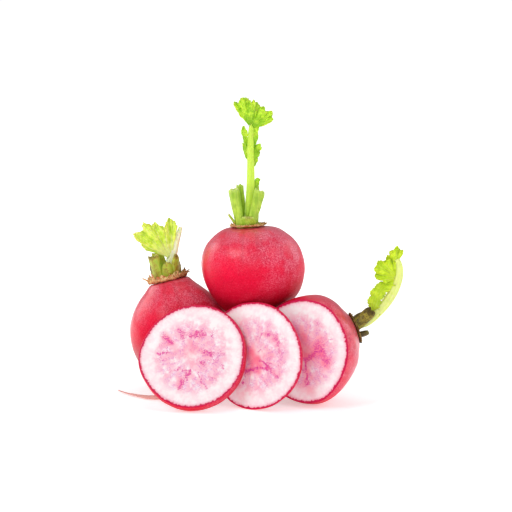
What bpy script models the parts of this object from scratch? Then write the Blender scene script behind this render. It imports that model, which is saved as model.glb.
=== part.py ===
"""A bunch of radishes: two whole ones, a third with its cheek cut off, and two slices that lean on them.

Metres, +Z up, +Y away from the viewer. The origin is the middle of the base that the bunch stands on.
Each radish is laid out from its crown, the point that its leaves grow from. Its root, collar and cut
stalks are in the crown's own frame, with +Z up into the leaves. Its young leaf and its tail are given
as places from the crown to the right, away and up, because they don't follow the root's axis.
"""

import math

import bmesh
import bpy
from mathutils import Matrix, Vector

MM = 0.001
GAP = 0.3 * MM  # clearance between pieces that touch
BLADE = 0.7 * MM  # thickness of a leaf blade
ROUND = 32  # sides of a root
MIDDLE = Vector((0.68, 4.17, 0.0)) * MM  # the middle of the base, in the layout that places are given in

PINK_SKIN = (0.62, 0.03, 0.09, 1.0)
PALE_FLESH = (0.92, 0.72, 0.74, 1.0)
STALK_GREEN = (0.36, 0.55, 0.12, 1.0)
LEAF_GREEN = (0.45, 0.68, 0.06, 1.0)
DRY_BROWN = (0.45, 0.24, 0.10, 1.0)

# Crown places in the layout, in mm, and the way that each radish's leaves point
TOP_CROWN, TOP_UP = (-2.9, 9.7, 60.7), (-0.045, 0.03, 1.0)
LEFT_CROWN, LEFT_UP = (-32.0, 15.5, 40.1), (-0.235, 0.09, 0.97)
CUT_CROWN, CUT_UP = (34.5, -4.7, 26.1), (0.929, 0.150, 0.338)

# Each root, in mm, from its crown down to its tail: depth, radius, and how far its axis has wandered to
# local +X
TOP_PROFILE = [(0.7, 0, 0), (0.2, 3.4, 0.1), (0.3, 6.6, 0.3), (1.0, 10.0, 0.7), (3.0, 13.2, 0.8),
               (6.0, 16.2, 0.8), (10.0, 18.1, 0.9), (14.5, 18.7, 1.1), (19.0, 18.1, 1.3), (23.5, 16.4, 1.5),
               (26.5, 14.3, 1.3), (29.5, 11.0, 0.5), (32.5, 7.4, 0.3), (35.5, 4.6, 0.2), (38.3, 2.2, 0.1), (39.6, 0, 0)]
LEFT_PROFILE = [(0.5, 0, 0), (0.1, 3.0, 0), (0.1, 6.8, 0), (1.1, 8.0, -0.2), (2.5, 9.2, -0.5),
                (4.8, 11.4, -0.9), (8.3, 14.2, -1.0), (12.8, 16.9, -0.6), (17.8, 18.2, -0.4),
                (22.8, 18.3, -0.3), (27.8, 17.1, -0.2), (32.8, 14.3, 0), (37.2, 10.2, 0), (40.0, 5.8, 0),
                (41.2, 2.6, 0), (41.5, 0, 0)]
CUT_PROFILE = [(0.6, 0, 0), (0.1, 2.6, 0), (0.1, 5.2, 0), (1.5, 8.4, 0.1), (3.4, 12.0, 0), (6.5, 15.0, -0.1),
               (10.0, 17.0, 0.3), (14.0, 18.4, 0.8), (19.0, 19.0, 1.3), (24.0, 18.0, 1.3), (29.0, 15.0, 1.0),
               (33.0, 10.8, 0.5), (36.0, 6.0, 0), (38.0, 2.0, 0), (38.5, 0, 0)]

# Waves round each root, in a share of its radius: how many, how high, and where they start
TOP_WAVES = [(3, 0.006, 1.9), (5, 0.005, 0.7)]
LEFT_WAVES = [(3, 0.006, 0.3), (5, 0.005, 1.2)]
CUT_WAVES = [(3, 0.006, 2.6), (5, 0.005, 0.2)]

# The left root's fuller shoulder: its depth, its reach up and down, its turn in degrees, its reach round in
# degrees, and its height, in mm
LEFT_SHOULDER = (8.6, 5.8, 46, 50, 1.8)

# The cut that takes the third radish's cheek off, as a place in the layout in mm and a normal
CUT_FACE, CUT_NORMAL = (17.2, -13.2, 19.1), (-0.45, -0.89, 0.08)

# Tails, as places from the crown and radii, in mm
LEFT_TAIL = [(8.6, -3.1, -34.4, 2.4), (8.3, -7.1, -37.1, 1.9), (7.0, -11.4, -38.55, 1.5),
             (4.0, -15.9, -38.75, 1.1), (-0.3, -19.2, -38.9, 0.95), (-5.0, -19.4, -39.0, 0.85),
             (-9.8, -16.6, -39.1, 0.7), (-14.3, -12.2, -39.2, 0.55), (-18.3, -7.0, -39.3, 0.4)]
TOP_TAIL = [(1.7, -1.1, -36.6, 1.9), (1.8, -0.9, -40.0, 1.5), (2.0, -0.1, -45.0, 1.2), (2.1, 1.3, -50.0, 1.05),
            (2.3, 3.5, -55.0, 0.95), (2.6, 6.4, -58.6, 0.85), (3.2, 9.8, -60.0, 0.75),
            (4.5, 13.0, -60.15, 0.62), (6.6, 15.8, -60.3, 0.45)]

# Cut leaf stalks round each crown: turn about the crown, distance of the foot from its middle, lean
# outwards, lean sideways, length, width and thickness. The turns and leans are in degrees and the rest
# is in mm. Turn 90 is away from the viewer, and turn 0 is to the right, or down for the lying radish.
TOP_STUBS = [(212, 3.1, 7, 4, 13.2, 4.6, 3.4), (292, 3.1, 4, -17, 12.8, 3.7, 2.7),
             (28, 3.1, 4, 0, 14.2, 3.3, 2.4), (128, 3.1, 3, 0, 14.2, 3.3, 2.3), (80, 3.5, 11, 0, 8.4, 3.5, 2.2),
             (272, 3.5, 24, 0, 3.4, 5.0, 1.7), (184, 3.8, 32, 0, 4.8, 2.0, 1.2)]
LEFT_STUBS = [(222, 3.8, 4, 0, 9.4, 4.2, 2.8), (284, 3.8, 3, 0, 7.6, 4.6, 2.9), (326, 3.6, 13, -6, 8.0, 3.4, 2.4),
              (8, 4.0, 12, 0, 5.8, 3.2, 2.1), (128, 3.8, 5, 0, 10.2, 4.0, 2.6), (66, 3.8, 11, 0, 8.2, 3.8, 2.4),
              (174, 4.1, 7, 0, 6.2, 3.4, 2.1)]
CUT_STUBS = [(238, 2.3, 9, 18, 8.2, 4.8, 3.3), (318, 2.9, 8, 0, 3.6, 3.4, 2.0), (158, 3.0, 10, 0, 5.0, 3.6, 2.0),
             (20, 3.2, 10, 0, 3.2, 3.4, 1.8)]

# Ring of dry leaf scars round each crown: inner and outer radius and height, in mm
TOP_COLLAR = (5.2, 6.3, 1.1)
LEFT_COLLAR = (5.8, 7.3, 2.6)
CUT_COLLAR = (4.6, 5.6, 1.1)

# Stalks of the young leaves, as places from the crown and radii, in mm
TOP_STALK = [(0.0, 0.3, 1.8, 1.15), (0.3, 0.2, 5.6, 1.35), (1.0, 0.0, 14.0, 1.45), (1.1, 0.0, 21.7, 1.3),
             (1.0, 0.0, 28.8, 1.25), (1.25, 0.0, 34.2, 1.2), (1.4, 0.1, 37.5, 0.8)]
LEFT_STALK = [(-0.2, 0.3, 3.3, 1.2), (0.6, 0.9, 6.2, 1.35), (1.9, 1.2, 9.7, 1.4), (3.0, 1.0, 14.2, 1.2),
              (4.1, 0.7, 17.7, 0.9), (4.6, 0.8, 19.5, 0.6)]
CUT_STALK = [(2.0, 1.5, 0.6, 1.0), (5.0, 2.1, 2.0, 1.35), (8.2, 2.5, 4.9, 1.55), (11.8, 2.7, 9.1, 1.65),
             (14.4, 3.1, 13.5, 1.65), (15.9, 3.4, 18.0, 1.5), (16.0, 3.4, 21.6, 1.25), (15.2, 3.4, 24.2, 0.9)]

# Each slice: its face's centre in the layout in mm, its normal, its thickness and how much wider its
# back is, in mm, and the radii of its edge at every 30 degrees from the right
FRONT_SLICE = {"face": (-22.7, -14.6, 18.1), "normal": (-0.124, -0.882, 0.454), "thickness": 3.8, "flare": 0.25,
               "edge": (18.6, 18.7, 19.1, 18.9, 18.5, 18.2, 18.4, 17.5, 17.3, 17.7, 18.0, 18.5)}
MIDDLE_SLICE = {"face": (0.5, -14.0, 18.2), "normal": (-0.486, -0.841, 0.237), "thickness": 2.3, "flare": -0.9,
                "edge": (17.3, 16.9, 17.6, 18.5, 19.4, 20.0, 19.2, 18.7, 19.2, 18.7, 18.3, 18.0)}


def clear_scene():
    for obj in list(bpy.data.objects):
        bpy.data.objects.remove(obj)


def new_collection(name):
    made = bpy.data.collections.new(name)
    bpy.context.scene.collection.children.link(made)
    return made


def new_material(name, colour, roughness):
    made = bpy.data.materials.new(name)
    made.use_nodes = True
    shader = made.node_tree.nodes["Principled BSDF"]
    shader.inputs["Base Color"].default_value = colour
    shader.inputs["Roughness"].default_value = roughness
    shader.inputs["Metallic"].default_value = 0.0
    made.diffuse_color = colour
    return made


def in_layout(place):
    """A place of the layout, in mm, as a point from the origin."""
    return Vector(place) * MM - MIDDLE


def beside(crown, place):
    """A place from a crown, in mm, as a point from the origin."""
    return in_layout(Vector(crown) + Vector(place))


def frame_at(place, up, towards):
    """The frame with its origin at a place of the layout, +Z along up, and +X as near to towards as that lets."""
    z = Vector(up).normalized()
    x = Vector(towards)
    x = (x - x.dot(z) * z).normalized()
    y = z.cross(x)
    turned_axes = Matrix((x, y, z)).transposed().to_4x4()
    return Matrix.Translation(in_layout(place)) @ turned_axes


def through(keys, per_span):
    """Points on a smooth curve through the keys, with per_span of them to each span."""
    keys = [Vector(key) for key in keys]
    ends = [2 * keys[0] - keys[1]] + keys + [2 * keys[-1] - keys[-2]]
    points = []
    for a, b, c, d in zip(ends, ends[1:], ends[2:], ends[3:]):
        for step in range(per_span):
            t = step / per_span
            points.append(0.5 * (2 * b + (c - a) * t + (2 * a - 5 * b + 4 * c - d) * t**2
                                 + (3 * b - a - 3 * c + d) * t**3))
    return points + [keys[-1]]


def along(points, share):
    """The point at a share from 0 to 1 of the way along a list of them."""
    place = min(max(share, 0), 1) * (len(points) - 1)
    first = min(int(place), len(points) - 2)
    return points[first].lerp(points[first + 1], place - first)


def mesh_of(bm):
    mesh = bpy.data.meshes.new("mesh")
    bm.to_mesh(mesh)
    bm.free()
    return mesh


def add_object(name, data, group=None):
    obj = bpy.data.objects.new(name, data)
    (group or bpy.context.scene.collection).objects.link(obj)
    return obj


def applied(obj):
    """The object's evaluated shape as a plain mesh of its own, in world space. The object is removed."""
    bpy.context.view_layer.update()
    shape = obj.evaluated_get(bpy.context.evaluated_depsgraph_get())
    mesh = bpy.data.meshes.new_from_object(shape)
    mesh.transform(obj.matrix_world)
    bpy.data.objects.remove(obj)
    bm = bmesh.new()
    bm.from_mesh(mesh)
    bmesh.ops.remove_doubles(bm, verts=bm.verts, dist=0.002 * MM)
    bmesh.ops.recalc_face_normals(bm, faces=bm.faces)
    bm.to_mesh(mesh)
    bm.free()
    return mesh


def turned(profile, sides):
    """A solid turned about Z from (radius, height) points that run down its outer side."""
    bm = bmesh.new()
    points = [bm.verts.new((radius, 0, height)) for radius, height in profile]
    for a, b in zip(points, points[1:]):
        bm.edges.new((a, b))
    obj = add_object("turned", mesh_of(bm))
    screw = obj.modifiers.new("turn", "SCREW")
    screw.axis = "Z"
    screw.steps = screw.render_steps = sides
    screw.use_merge_vertices = True
    screw.merge_threshold = 0.01 * MM
    return applied(obj)


def tube(crown, rows, resolution=2, per_span=2):
    """A rod with rounded sides and filled ends, through places from a crown with radii, in mm."""
    curve = bpy.data.curves.new("tube", "CURVE")
    curve.dimensions = "3D"
    curve.bevel_depth = 1 * MM
    curve.bevel_resolution = resolution
    curve.use_fill_caps = True
    points = through(rows, per_span)
    spline = curve.splines.new("POLY")
    spline.points.add(len(points) - 1)
    for knot, point in zip(spline.points, points):
        knot.co = (*beside(crown, point[:3]), 1)
        knot.radius = point[3]
    return applied(add_object("tube", curve))


def joined(meshes):
    """One solid from meshes that run into each other."""
    helpers = new_collection("joining")
    first = add_object("first", meshes[0])
    for mesh in meshes[1:]:
        add_object("piece", mesh, helpers)
    union = first.modifiers.new("union", "BOOLEAN")
    union.operation = "UNION"
    union.operand_type = "COLLECTION"
    union.collection = helpers
    union.solver = "MANIFOLD"
    mesh = applied(first)
    for piece in list(helpers.objects):
        bpy.data.objects.remove(piece)
    bpy.data.collections.remove(helpers)
    return mesh


def cut_flat(mesh, point, normal):
    """Takes off what lies beyond the plane, on the side that normal points to, and closes the cut."""
    bm = bmesh.new()
    bm.from_mesh(mesh)
    everything = bm.verts[:] + bm.edges[:] + bm.faces[:]
    bmesh.ops.bisect_plane(bm, geom=everything, plane_co=point, plane_no=normal, clear_outer=True, dist=1e-7)
    bmesh.ops.holes_fill(bm, edges=[edge for edge in bm.edges if edge.is_boundary], sides=0)
    bmesh.ops.recalc_face_normals(bm, faces=bm.faces)
    bm.to_mesh(mesh)
    bm.free()
    return mesh


def fullness(shoulder, depth, angle):
    """How far a root's fuller shoulder stands out, in mm, at a depth and an angle."""
    middle, tall, turn, wide, height = shoulder
    across = (angle - math.radians(turn) + math.pi) % math.tau - math.pi
    return height * math.exp(-((depth - middle) / tall)**2 - (across / math.radians(wide))**2)


def root(profile, waves, frame, tail=None, shoulder=None):
    """A swollen root with its tail, cut flat where it stands on the ground."""
    rows = through(profile, 2)
    rows[0].y = rows[-1].y = 0
    body = turned([(max(row.y, 0) * MM, -row.x * MM) for row in rows], ROUND)
    wander = [Vector((row.x, row.z)) for row in rows[2:]]
    for vertex in body.vertices:
        angle = math.atan2(vertex.co.y, vertex.co.x)
        share = sum(height * math.cos(count * angle + start + 0.02 * vertex.co.z / MM)
                    for count, height, start in waves)
        depth = -vertex.co.z / MM
        nearest = min(wander, key=lambda row: abs(row.x - depth))
        radius = vertex.co.xy.length
        if shoulder is not None and radius > MM:
            share += fullness(shoulder, depth, angle) * MM / radius
        vertex.co.x = vertex.co.x * (1 + share) + nearest.y * MM
        vertex.co.y *= 1 + share
    body.transform(frame)
    if tail is not None:
        body = joined([body, tail])
    return cut_flat(body, (0, 0, 0), (0, 0, -1))


def collar(sizes, frame):
    """The low ragged ring of leaf scars that lies on a crown."""
    inner, outer, height = (size * MM for size in sizes)
    middle = (inner + outer) / 2
    loop = [(inner, height * 0.7), (middle, height), (outer, height * 0.6), (outer, 0.1 * MM), (middle, 0),
            (inner, 0), (inner, height * 0.7)]
    mesh = turned(loop, 26)
    for vertex in mesh.vertices:
        angle = math.atan2(vertex.co.y, vertex.co.x)
        if vertex.co.z > 0.3 * height:
            vertex.co.z *= 1 + 0.18 * math.sin(5 * angle + 0.6) + 0.12 * math.sin(11 * angle)
        if vertex.co.xy.length > middle * 1.02:
            vertex.co.xy *= 1 + 0.04 * math.sin(7 * angle)
        vertex.co.z += GAP
    mesh.transform(frame)
    return mesh


def stub(turn, foot, lean, sideways, length, width, thickness):
    """A cut leaf stalk in its crown's frame: ribbed outside, hollowed a little inside, cut off flat."""
    bm = bmesh.new()
    buried = 1.5 * MM
    reach = length * MM + buried
    bmesh.ops.create_cone(bm, cap_ends=True, segments=12, radius1=1, radius2=1, depth=reach)
    for share in (0.33, 0.67):
        everything = bm.verts[:] + bm.edges[:] + bm.faces[:]
        bmesh.ops.bisect_plane(bm, geom=everything, plane_co=(0, 0, (share - 0.5) * reach), plane_no=(0, 0, 1))
    for vertex in bm.verts:
        share = vertex.co.z / reach + 0.5
        side, out = vertex.co.x, vertex.co.y
        rib = 1 + 0.07 * math.cos(5 * math.atan2(out, side) - math.pi / 2)
        hollow = 0.35 * (1 - side**2) if out < 0 else 0
        swell = 1.08 - 0.12 * share + 0.14 * share**4
        vertex.co.x = side * width / 2 * MM * rib * swell
        vertex.co.y = (out * rib + hollow) * thickness / 2 * MM * swell
        vertex.co.z = share * reach - buried
    mesh = mesh_of(bm)
    leant = Matrix.Rotation(math.radians(-lean), 4, "X") @ Matrix.Rotation(math.radians(sideways), 4, "Y")
    step_out = Matrix.Translation((0, foot * MM, 0.5 * MM))
    mesh.transform(Matrix.Rotation(math.radians(turn - 90), 4, "Z") @ step_out @ leant)
    return cut_flat(mesh, (0, 0, 2 * GAP), (0, 0, -1))


def stub_ring(rows, collar_sizes, frame):
    """The crown's heart with its cut stalks, as one piece inside the collar."""
    radius = collar_sizes[0] * MM - GAP
    height = 1.1 * MM
    heart = turned([(0, height), (radius * 0.7, height), (radius, height * 0.7), (radius, GAP), (0, GAP)], 20)
    mesh = joined([heart] + [stub(*row) for row in rows])
    mesh.transform(frame)
    return mesh


def blade(rule, across, up):
    """A leaf blade: a grid bent by rule(a, b), with a across it from -1 to 1 and b up it from 0 to 1."""
    bm = bmesh.new()
    bmesh.ops.create_grid(bm, x_segments=across, y_segments=up, size=1)
    for vertex in bm.verts:
        vertex.co = rule(vertex.co.x, (vertex.co.y + 1) / 2)
    bmesh.ops.triangulate(bm, faces=bm.faces)
    obj = add_object("blade", mesh_of(bm))
    solidify = obj.modifiers.new("thickness", "SOLIDIFY")
    solidify.thickness = BLADE
    solidify.offset = 0
    return applied(obj)


def fan(crown, foot, outline, tip=0.0, side=0.0, folds=3.0, height=1.0, phase=0.0):
    """The rule of a fan-shaped blade that opens from its foot, a place from the crown, in mm.

    The outline is its reach in mm at angles from the vertical, in degrees to the right. tip and side are
    the slopes that carry the blade away from the viewer going up and going right, and its folds stand
    out by height at the edge, in mm.
    """
    foot = beside(crown, foot)
    edge = through(outline, 3)

    def rule(a, b):
        angle, reach = along(edge, (a + 1) / 2)
        angle = math.radians(angle)
        far = (0.10 + 0.90 * b) * reach * (1 + 0.05 * b * math.cos(9 * a + phase))
        x, z = far * math.sin(angle), far * math.cos(angle)
        fold = height * b**1.4 * (math.sin(math.pi * folds * a + phase) + 0.35 * math.sin(11 * a - phase))
        return foot + Vector((x, tip * z + side * x + fold, z)) * MM

    return rule


def ribbon(crown, path, side, ruffle, phase=0.0):
    """The rule of a narrow blade along a path of places from the crown with half widths, in mm."""
    spine = through([(*beside(crown, row[:3]), row[3] * MM) for row in path], 3)
    side = Vector(side).normalized()

    def rule(a, b):
        point = along(spine, b)
        out = Vector((0, 1, 0)) * ruffle * MM * math.sin(8 * b + 1.6 * a + phase)
        return Vector(point[:3]) + side * point[3] * a + out

    return rule


def top_leaf():
    """The tall shoot: a stalk, small lobes up its sides and folded blades at its head."""
    here = TOP_CROWN
    head = [
        fan(here, (1.0, 0.0, 35.2), [(-40, 6.4), (-33, 10.3), (-22, 11.0), (-12, 10.7), (-2, 10.2), (7, 9.4),
                                     (15, 7.4)], tip=-0.12, folds=2.5, height=0.8),
        fan(here, (1.2, -0.1, 35.0), [(16, 6.6), (28, 8.6), (40, 8.3), (50, 9.2), (60, 9.2), (69, 7.2), (77, 4.6)],
            tip=-0.2, side=-0.4, folds=2.0, height=0.8, phase=1.0),
        fan(here, (1.1, 0.3, 35.0), [(-22, 6.4), (-8, 8.4), (4, 8.8), (18, 9.0), (30, 8.8), (42, 7.0), (52, 5.0)],
            tip=0.42, side=0.1, folds=2.5, height=0.8, phase=2.0),
    ]
    sides = [
        ([(0.3, 0.0, 27.6, 0.9), (-0.7, -0.2, 30.6, 1.3), (-1.3, -0.3, 33.4, 1.3), (-1.6, -0.3, 35.8, 0.7)],
         (-1, -0.25, 0.1)),
        ([(0.4, 0.2, 23.4, 0.8), (-0.5, 0.4, 25.6, 1.1), (-1.2, 0.6, 28.4, 1.1), (-1.6, 0.6, 30.2, 0.6)],
         (-1, 0.3, 0.2)),
        ([(1.8, 0.0, 28.6, 0.7), (2.5, -0.3, 31.2, 1.0), (2.8, -0.4, 33.6, 0.9), (3.1, -0.4, 35.4, 0.6)],
         (1, -0.3, 0.1)),
        ([(1.7, 0.0, 23.6, 0.8), (2.7, -0.4, 25.8, 1.3), (3.4, -0.5, 27.8, 1.2), (3.9, -0.5, 29.4, 0.6)],
         (1, -0.35, -0.1)),
        ([(1.8, 0.2, 21.8, 0.6), (2.6, 0.3, 23.2, 0.7), (3.1, 0.3, 24.4, 0.5)], (1, 0.2, -0.3)),
        ([(1.7, 0.0, 13.4, 0.6), (2.9, 0.1, 15.4, 0.9), (3.9, 0.1, 17.2, 0.5)], (1, 0.1, -0.4)),
        ([(1.0, 0.9, 25.0, 0.8), (1.0, 1.8, 28.0, 1.3), (1.1, 2.6, 31.4, 0.9)], (0.9, 0.5, 0)),
    ]
    lobes = [blade(ribbon(here, path, side, 0.25, phase), 2, 5)
             for phase, (path, side) in enumerate(sides)]
    return joined([tube(here, TOP_STALK)] + [blade(rule, 18, 5) for rule in head] + lobes)


def left_leaf():
    """The short ruffled leaf: a stalk bent to the right with a wide blade that opens to the left."""
    here = LEFT_CROWN
    blades = [
        fan(here, (1.1, 0.3, 7.8), [(-68, 9.6), (-60, 13.4), (-53, 15.6), (-44, 16.0), (-36, 16.6), (-29, 14.4),
                                    (-21, 14.0), (-12, 13.8), (-4, 15.4), (4, 15.0), (11, 12.4)],
            tip=-0.05, side=0.12, folds=4.5, height=1.1),
        fan(here, (1.1, 0.6, 7.6), [(-62, 8.0), (-48, 11.6), (-34, 12.2), (-20, 12.6), (-6, 11.6), (6, 12.4),
                                    (14, 9.4)], tip=0.38, side=0.05, folds=3.0, height=1.0, phase=1.5),
    ]
    return joined([tube(here, LEFT_STALK), blade(blades[0], 26, 6), blade(blades[1], 18, 5)])


def cut_leaf():
    """The leaf that arches up: a broad pale stalk, a ruffled fringe inside its bend and a small head."""
    here = CUT_CROWN
    main = fan(here, (14.9, 3.2, 17.6), [(-118, 4.4), (-98, 5.6), (-82, 7.6), (-68, 8.7), (-56, 8.4), (-43, 8.6),
                                         (-30, 7.4), (-16, 6.8), (-2, 6.0)], tip=0.0, side=0.14, folds=3.0, height=0.8)
    head = fan(here, (14.8, 3.3, 22.4), [(-36, 3.8), (-27, 5.2), (-13, 5.6), (2, 6.5), (14, 5.8), (24, 5.5),
                                         (33, 4.0)], tip=-0.05, folds=2.0, height=0.6, phase=0.8)
    back = fan(here, (14.6, 3.6, 18.4), [(-84, 5.0), (-64, 6.6), (-42, 6.4), (-20, 6.8), (0, 6.2)], tip=0.3,
               side=-0.3, folds=2.0, height=0.7, phase=2.0)
    low = [(8.0, 2.1, 4.8, 1.3), (7.0, 1.7, 7.6, 1.9), (7.6, 1.6, 10.6, 2.0), (9.2, 1.9, 13.4, 2.0),
           (11.8, 2.5, 15.4, 1.9), (14.2, 3.0, 16.6, 1.4)]
    fringe = ribbon(here, low, (-0.93, 0.1, 0.36), 0.35)
    return joined([tube(here, CUT_STALK), blade(main, 22, 5), blade(head, 12, 4), blade(back, 12, 4),
                   blade(fringe, 3, 12)])


def slice_of_radish(sizes):
    """A slice in its own frame, with its front face at z = 0."""
    thickness = sizes["thickness"] * MM
    bm = bmesh.new()
    bmesh.ops.create_cone(bm, cap_ends=True, segments=48, radius1=1, radius2=1, depth=thickness)
    edge = through([Vector((radius, 0)) for radius in sizes["edge"] + sizes["edge"][:1]], 4)
    for vertex in bm.verts:
        share = (math.atan2(vertex.co.y, vertex.co.x) / math.tau) % 1
        flare = sizes["flare"] if vertex.co.z < 0 else 0
        vertex.co.xy *= (along(edge, share).x + flare) * MM
        vertex.co.z -= thickness / 2
    rim = [edge for edge in bm.edges if abs(edge.verts[0].co.z - edge.verts[1].co.z) < 1e-6]
    bmesh.ops.bevel(bm, geom=rim, offset=0.35 * MM, segments=2, profile=0.5, affect="EDGES")
    return mesh_of(bm)


def finish(obj):
    obj.data.shade_smooth()
    obj.data.set_sharp_from_angle(angle=math.radians(40))


def add_radish(name, frame, pieces, group):
    """One radish: its pieces, given in world space, under an empty at its crown."""
    crown = add_object(name, None, group)
    crown.empty_display_size = 5 * MM
    crown.matrix_world = frame
    for part, mesh, material in pieces:
        mesh.transform(frame.inverted())
        mesh.materials.clear()
        mesh.materials.append(material)
        obj = add_object(f"{name}_{part}", mesh, group)
        obj.parent = crown
        finish(obj)


def add_slice(name, sizes, skin, flesh, group):
    """One slice, standing on the ground, with the skin's colour on its edge and the flesh's on its faces."""
    frame = frame_at(sizes["face"], sizes["normal"], (1, 0, 0))
    mesh = slice_of_radish(sizes)
    lowest = min((frame @ vertex.co).z for vertex in mesh.vertices)
    obj = add_object(name, mesh, group)
    obj.matrix_world = Matrix.Translation((0, 0, -lowest)) @ frame
    mesh.materials.append(skin)
    mesh.materials.append(flesh)
    for polygon in mesh.polygons:
        polygon.material_index = int(abs(polygon.normal.z) > 0.99)
    finish(obj)


def main():
    clear_scene()
    group = new_collection("bunch_of_radishes")
    skin = new_material("radish_skin", PINK_SKIN, 0.38)
    flesh = new_material("radish_flesh", PALE_FLESH, 0.45)
    stalk = new_material("leaf_stalk", STALK_GREEN, 0.5)
    green = new_material("young_leaf", LEAF_GREEN, 0.5)
    brown = new_material("dry_collar", DRY_BROWN, 0.8)
    right, down = (1, 0, 0), (0, 0, -1)

    top = frame_at(TOP_CROWN, TOP_UP, right)
    add_radish("top_radish", top, [
        ("root", root(TOP_PROFILE, TOP_WAVES, top, tube(TOP_CROWN, TOP_TAIL)), skin),
        ("collar", collar(TOP_COLLAR, top), brown),
        ("cut_stalks", stub_ring(TOP_STUBS, TOP_COLLAR, top), stalk),
        ("leaf", top_leaf(), green)], group)

    left = frame_at(LEFT_CROWN, LEFT_UP, right)
    add_radish("left_radish", left, [
        ("root", root(LEFT_PROFILE, LEFT_WAVES, left, tube(LEFT_CROWN, LEFT_TAIL, per_span=3), LEFT_SHOULDER),
         skin),
        ("collar", collar(LEFT_COLLAR, left), brown),
        ("cut_stalks", stub_ring(LEFT_STUBS, LEFT_COLLAR, left), stalk),
        ("leaf", left_leaf(), green)], group)

    lying = frame_at(CUT_CROWN, CUT_UP, down)
    cut_root = cut_flat(root(CUT_PROFILE, CUT_WAVES, lying), in_layout(CUT_FACE), Vector(CUT_NORMAL))
    add_radish("cut_radish", lying, [
        ("root", cut_root, skin),
        ("collar", collar(CUT_COLLAR, lying), brown),
        ("cut_stalks", stub_ring(CUT_STUBS, CUT_COLLAR, lying), stalk),
        ("leaf", cut_leaf(), green)], group)

    add_slice("front_slice", FRONT_SLICE, skin, flesh, group)
    add_slice("middle_slice", MIDDLE_SLICE, skin, flesh, group)


main()
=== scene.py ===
"""The looks of a bunch of radishes: waxy skins, cut flesh, leaf stalks, young leaves and dry crowns.

Sizes are in mm, and places are in the layout that the radishes were set out in: +X right, +Y away from the
viewer, +Z up. in_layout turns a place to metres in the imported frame. Each radish has its crown's own frame,
with +Z up into the leaves, and a cut face has its own, with +Z out of the face.
"""

import math

import bmesh
import bpy
import numpy as np
from mathutils import Matrix, Vector, noise


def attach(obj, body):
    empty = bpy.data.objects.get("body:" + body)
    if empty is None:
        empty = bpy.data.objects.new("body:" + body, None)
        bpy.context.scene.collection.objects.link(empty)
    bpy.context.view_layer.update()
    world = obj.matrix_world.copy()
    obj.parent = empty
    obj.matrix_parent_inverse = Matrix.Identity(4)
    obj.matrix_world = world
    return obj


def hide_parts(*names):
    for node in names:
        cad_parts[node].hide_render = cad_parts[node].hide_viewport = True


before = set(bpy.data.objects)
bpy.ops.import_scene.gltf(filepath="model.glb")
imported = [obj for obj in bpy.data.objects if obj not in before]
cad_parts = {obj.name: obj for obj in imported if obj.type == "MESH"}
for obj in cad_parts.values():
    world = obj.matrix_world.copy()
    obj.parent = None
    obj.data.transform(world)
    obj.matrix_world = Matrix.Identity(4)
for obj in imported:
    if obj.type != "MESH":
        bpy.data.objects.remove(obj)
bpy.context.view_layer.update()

MM = 0.001
MERGE = 0.002  # points closer than this are one
SKIN_GRAIN = 0.36  # the skins' faces, about this wide
ROOT_SIDES, SLICE_SIDES = 96, 288
ROUNDING = 0.3  # the slices' rounded edges
BLADE_THICKNESS = 0.42
SCALE_LEAN = 0.3  # how far the scales of a scar ring lean outwards, in radians
SCALE_RISE = 0.2125  # how much taller they are at its left, as a share of the ring's height
RIGHT, DOWN = (1, 0, 0), (0, 0, -1)
MIDDLE = Vector((0.68, 4.17, 0.0)) * MM  # the middle of the base, in the layout

# Crown places in the layout, and the way that each radish's leaves point
TOP_CROWN, TOP_UP = (-2.9, 9.7, 60.7), (-0.045, 0.03, 1.0)
LEFT_CROWN, LEFT_UP = (-32.0, 15.5, 40.1), (-0.235, 0.09, 0.97)
CUT_CROWN, CUT_UP = (34.5, -4.7, 26.1), (0.929, 0.150, 0.338)

# Each root from its crown down to its tail: depth, radius, and how far its axis wanders to local +X
TOP_PROFILE = [
    (0.7, 0, 0), (0.2, 3.4, 0.1), (0.3, 6.6, 0.3), (1.0, 10.0, 0.7), (3.0, 13.2, 0.8), (6.0, 16.2, 0.8),
    (10.0, 18.1, 0.9), (14.5, 18.7, 1.1), (19.0, 18.1, 1.3), (23.5, 16.4, 1.5), (26.5, 14.3, 1.3),
    (29.5, 11.0, 0.5), (32.5, 7.4, 0.3), (35.5, 4.6, 0.2), (38.3, 2.2, 0.1), (39.6, 0, 0),
]
LEFT_PROFILE = [
    (0.5, 0, 0), (0.1, 3.0, 0), (0.1, 6.8, 0), (1.1, 8.0, -0.2), (2.5, 9.2, -0.5), (4.8, 11.4, -0.9),
    (8.3, 14.2, -1.0), (12.8, 16.9, -0.6), (17.8, 18.2, -0.4), (22.8, 18.3, -0.3), (27.8, 17.1, -0.2),
    (32.8, 14.3, 0), (37.2, 10.2, 0), (40.0, 5.8, 0), (41.2, 2.6, 0), (41.5, 0, 0),
]
CUT_PROFILE = [
    (0.6, 0, 0), (0.1, 2.6, 0), (0.1, 5.2, 0), (1.5, 8.4, 0.1), (3.4, 12.0, 0), (6.5, 15.0, -0.1),
    (10.0, 17.0, 0.3), (14.0, 18.4, 0.8), (19.0, 19.0, 1.3), (24.0, 18.0, 1.3), (29.0, 15.0, 1.0),
    (33.0, 10.8, 0.5), (36.0, 6.0, 0), (38.0, 2.0, 0), (38.5, 0, 0),
]
# Waves round each root, in a share of its radius: how many, how high, and where they start
TOP_WAVES = [(3, 0.006, 1.9), (5, 0.005, 0.7)]
LEFT_WAVES = [(3, 0.006, 0.3), (5, 0.005, 1.2)]
CUT_WAVES = [(3, 0.006, 2.6), (5, 0.005, 0.2)]
# The left root's fuller shoulder: depth, reach up and down, turn, reach round in degrees, and height
LEFT_SHOULDER = (8.8, 6.8, 48, 50, 1.9)
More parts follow.
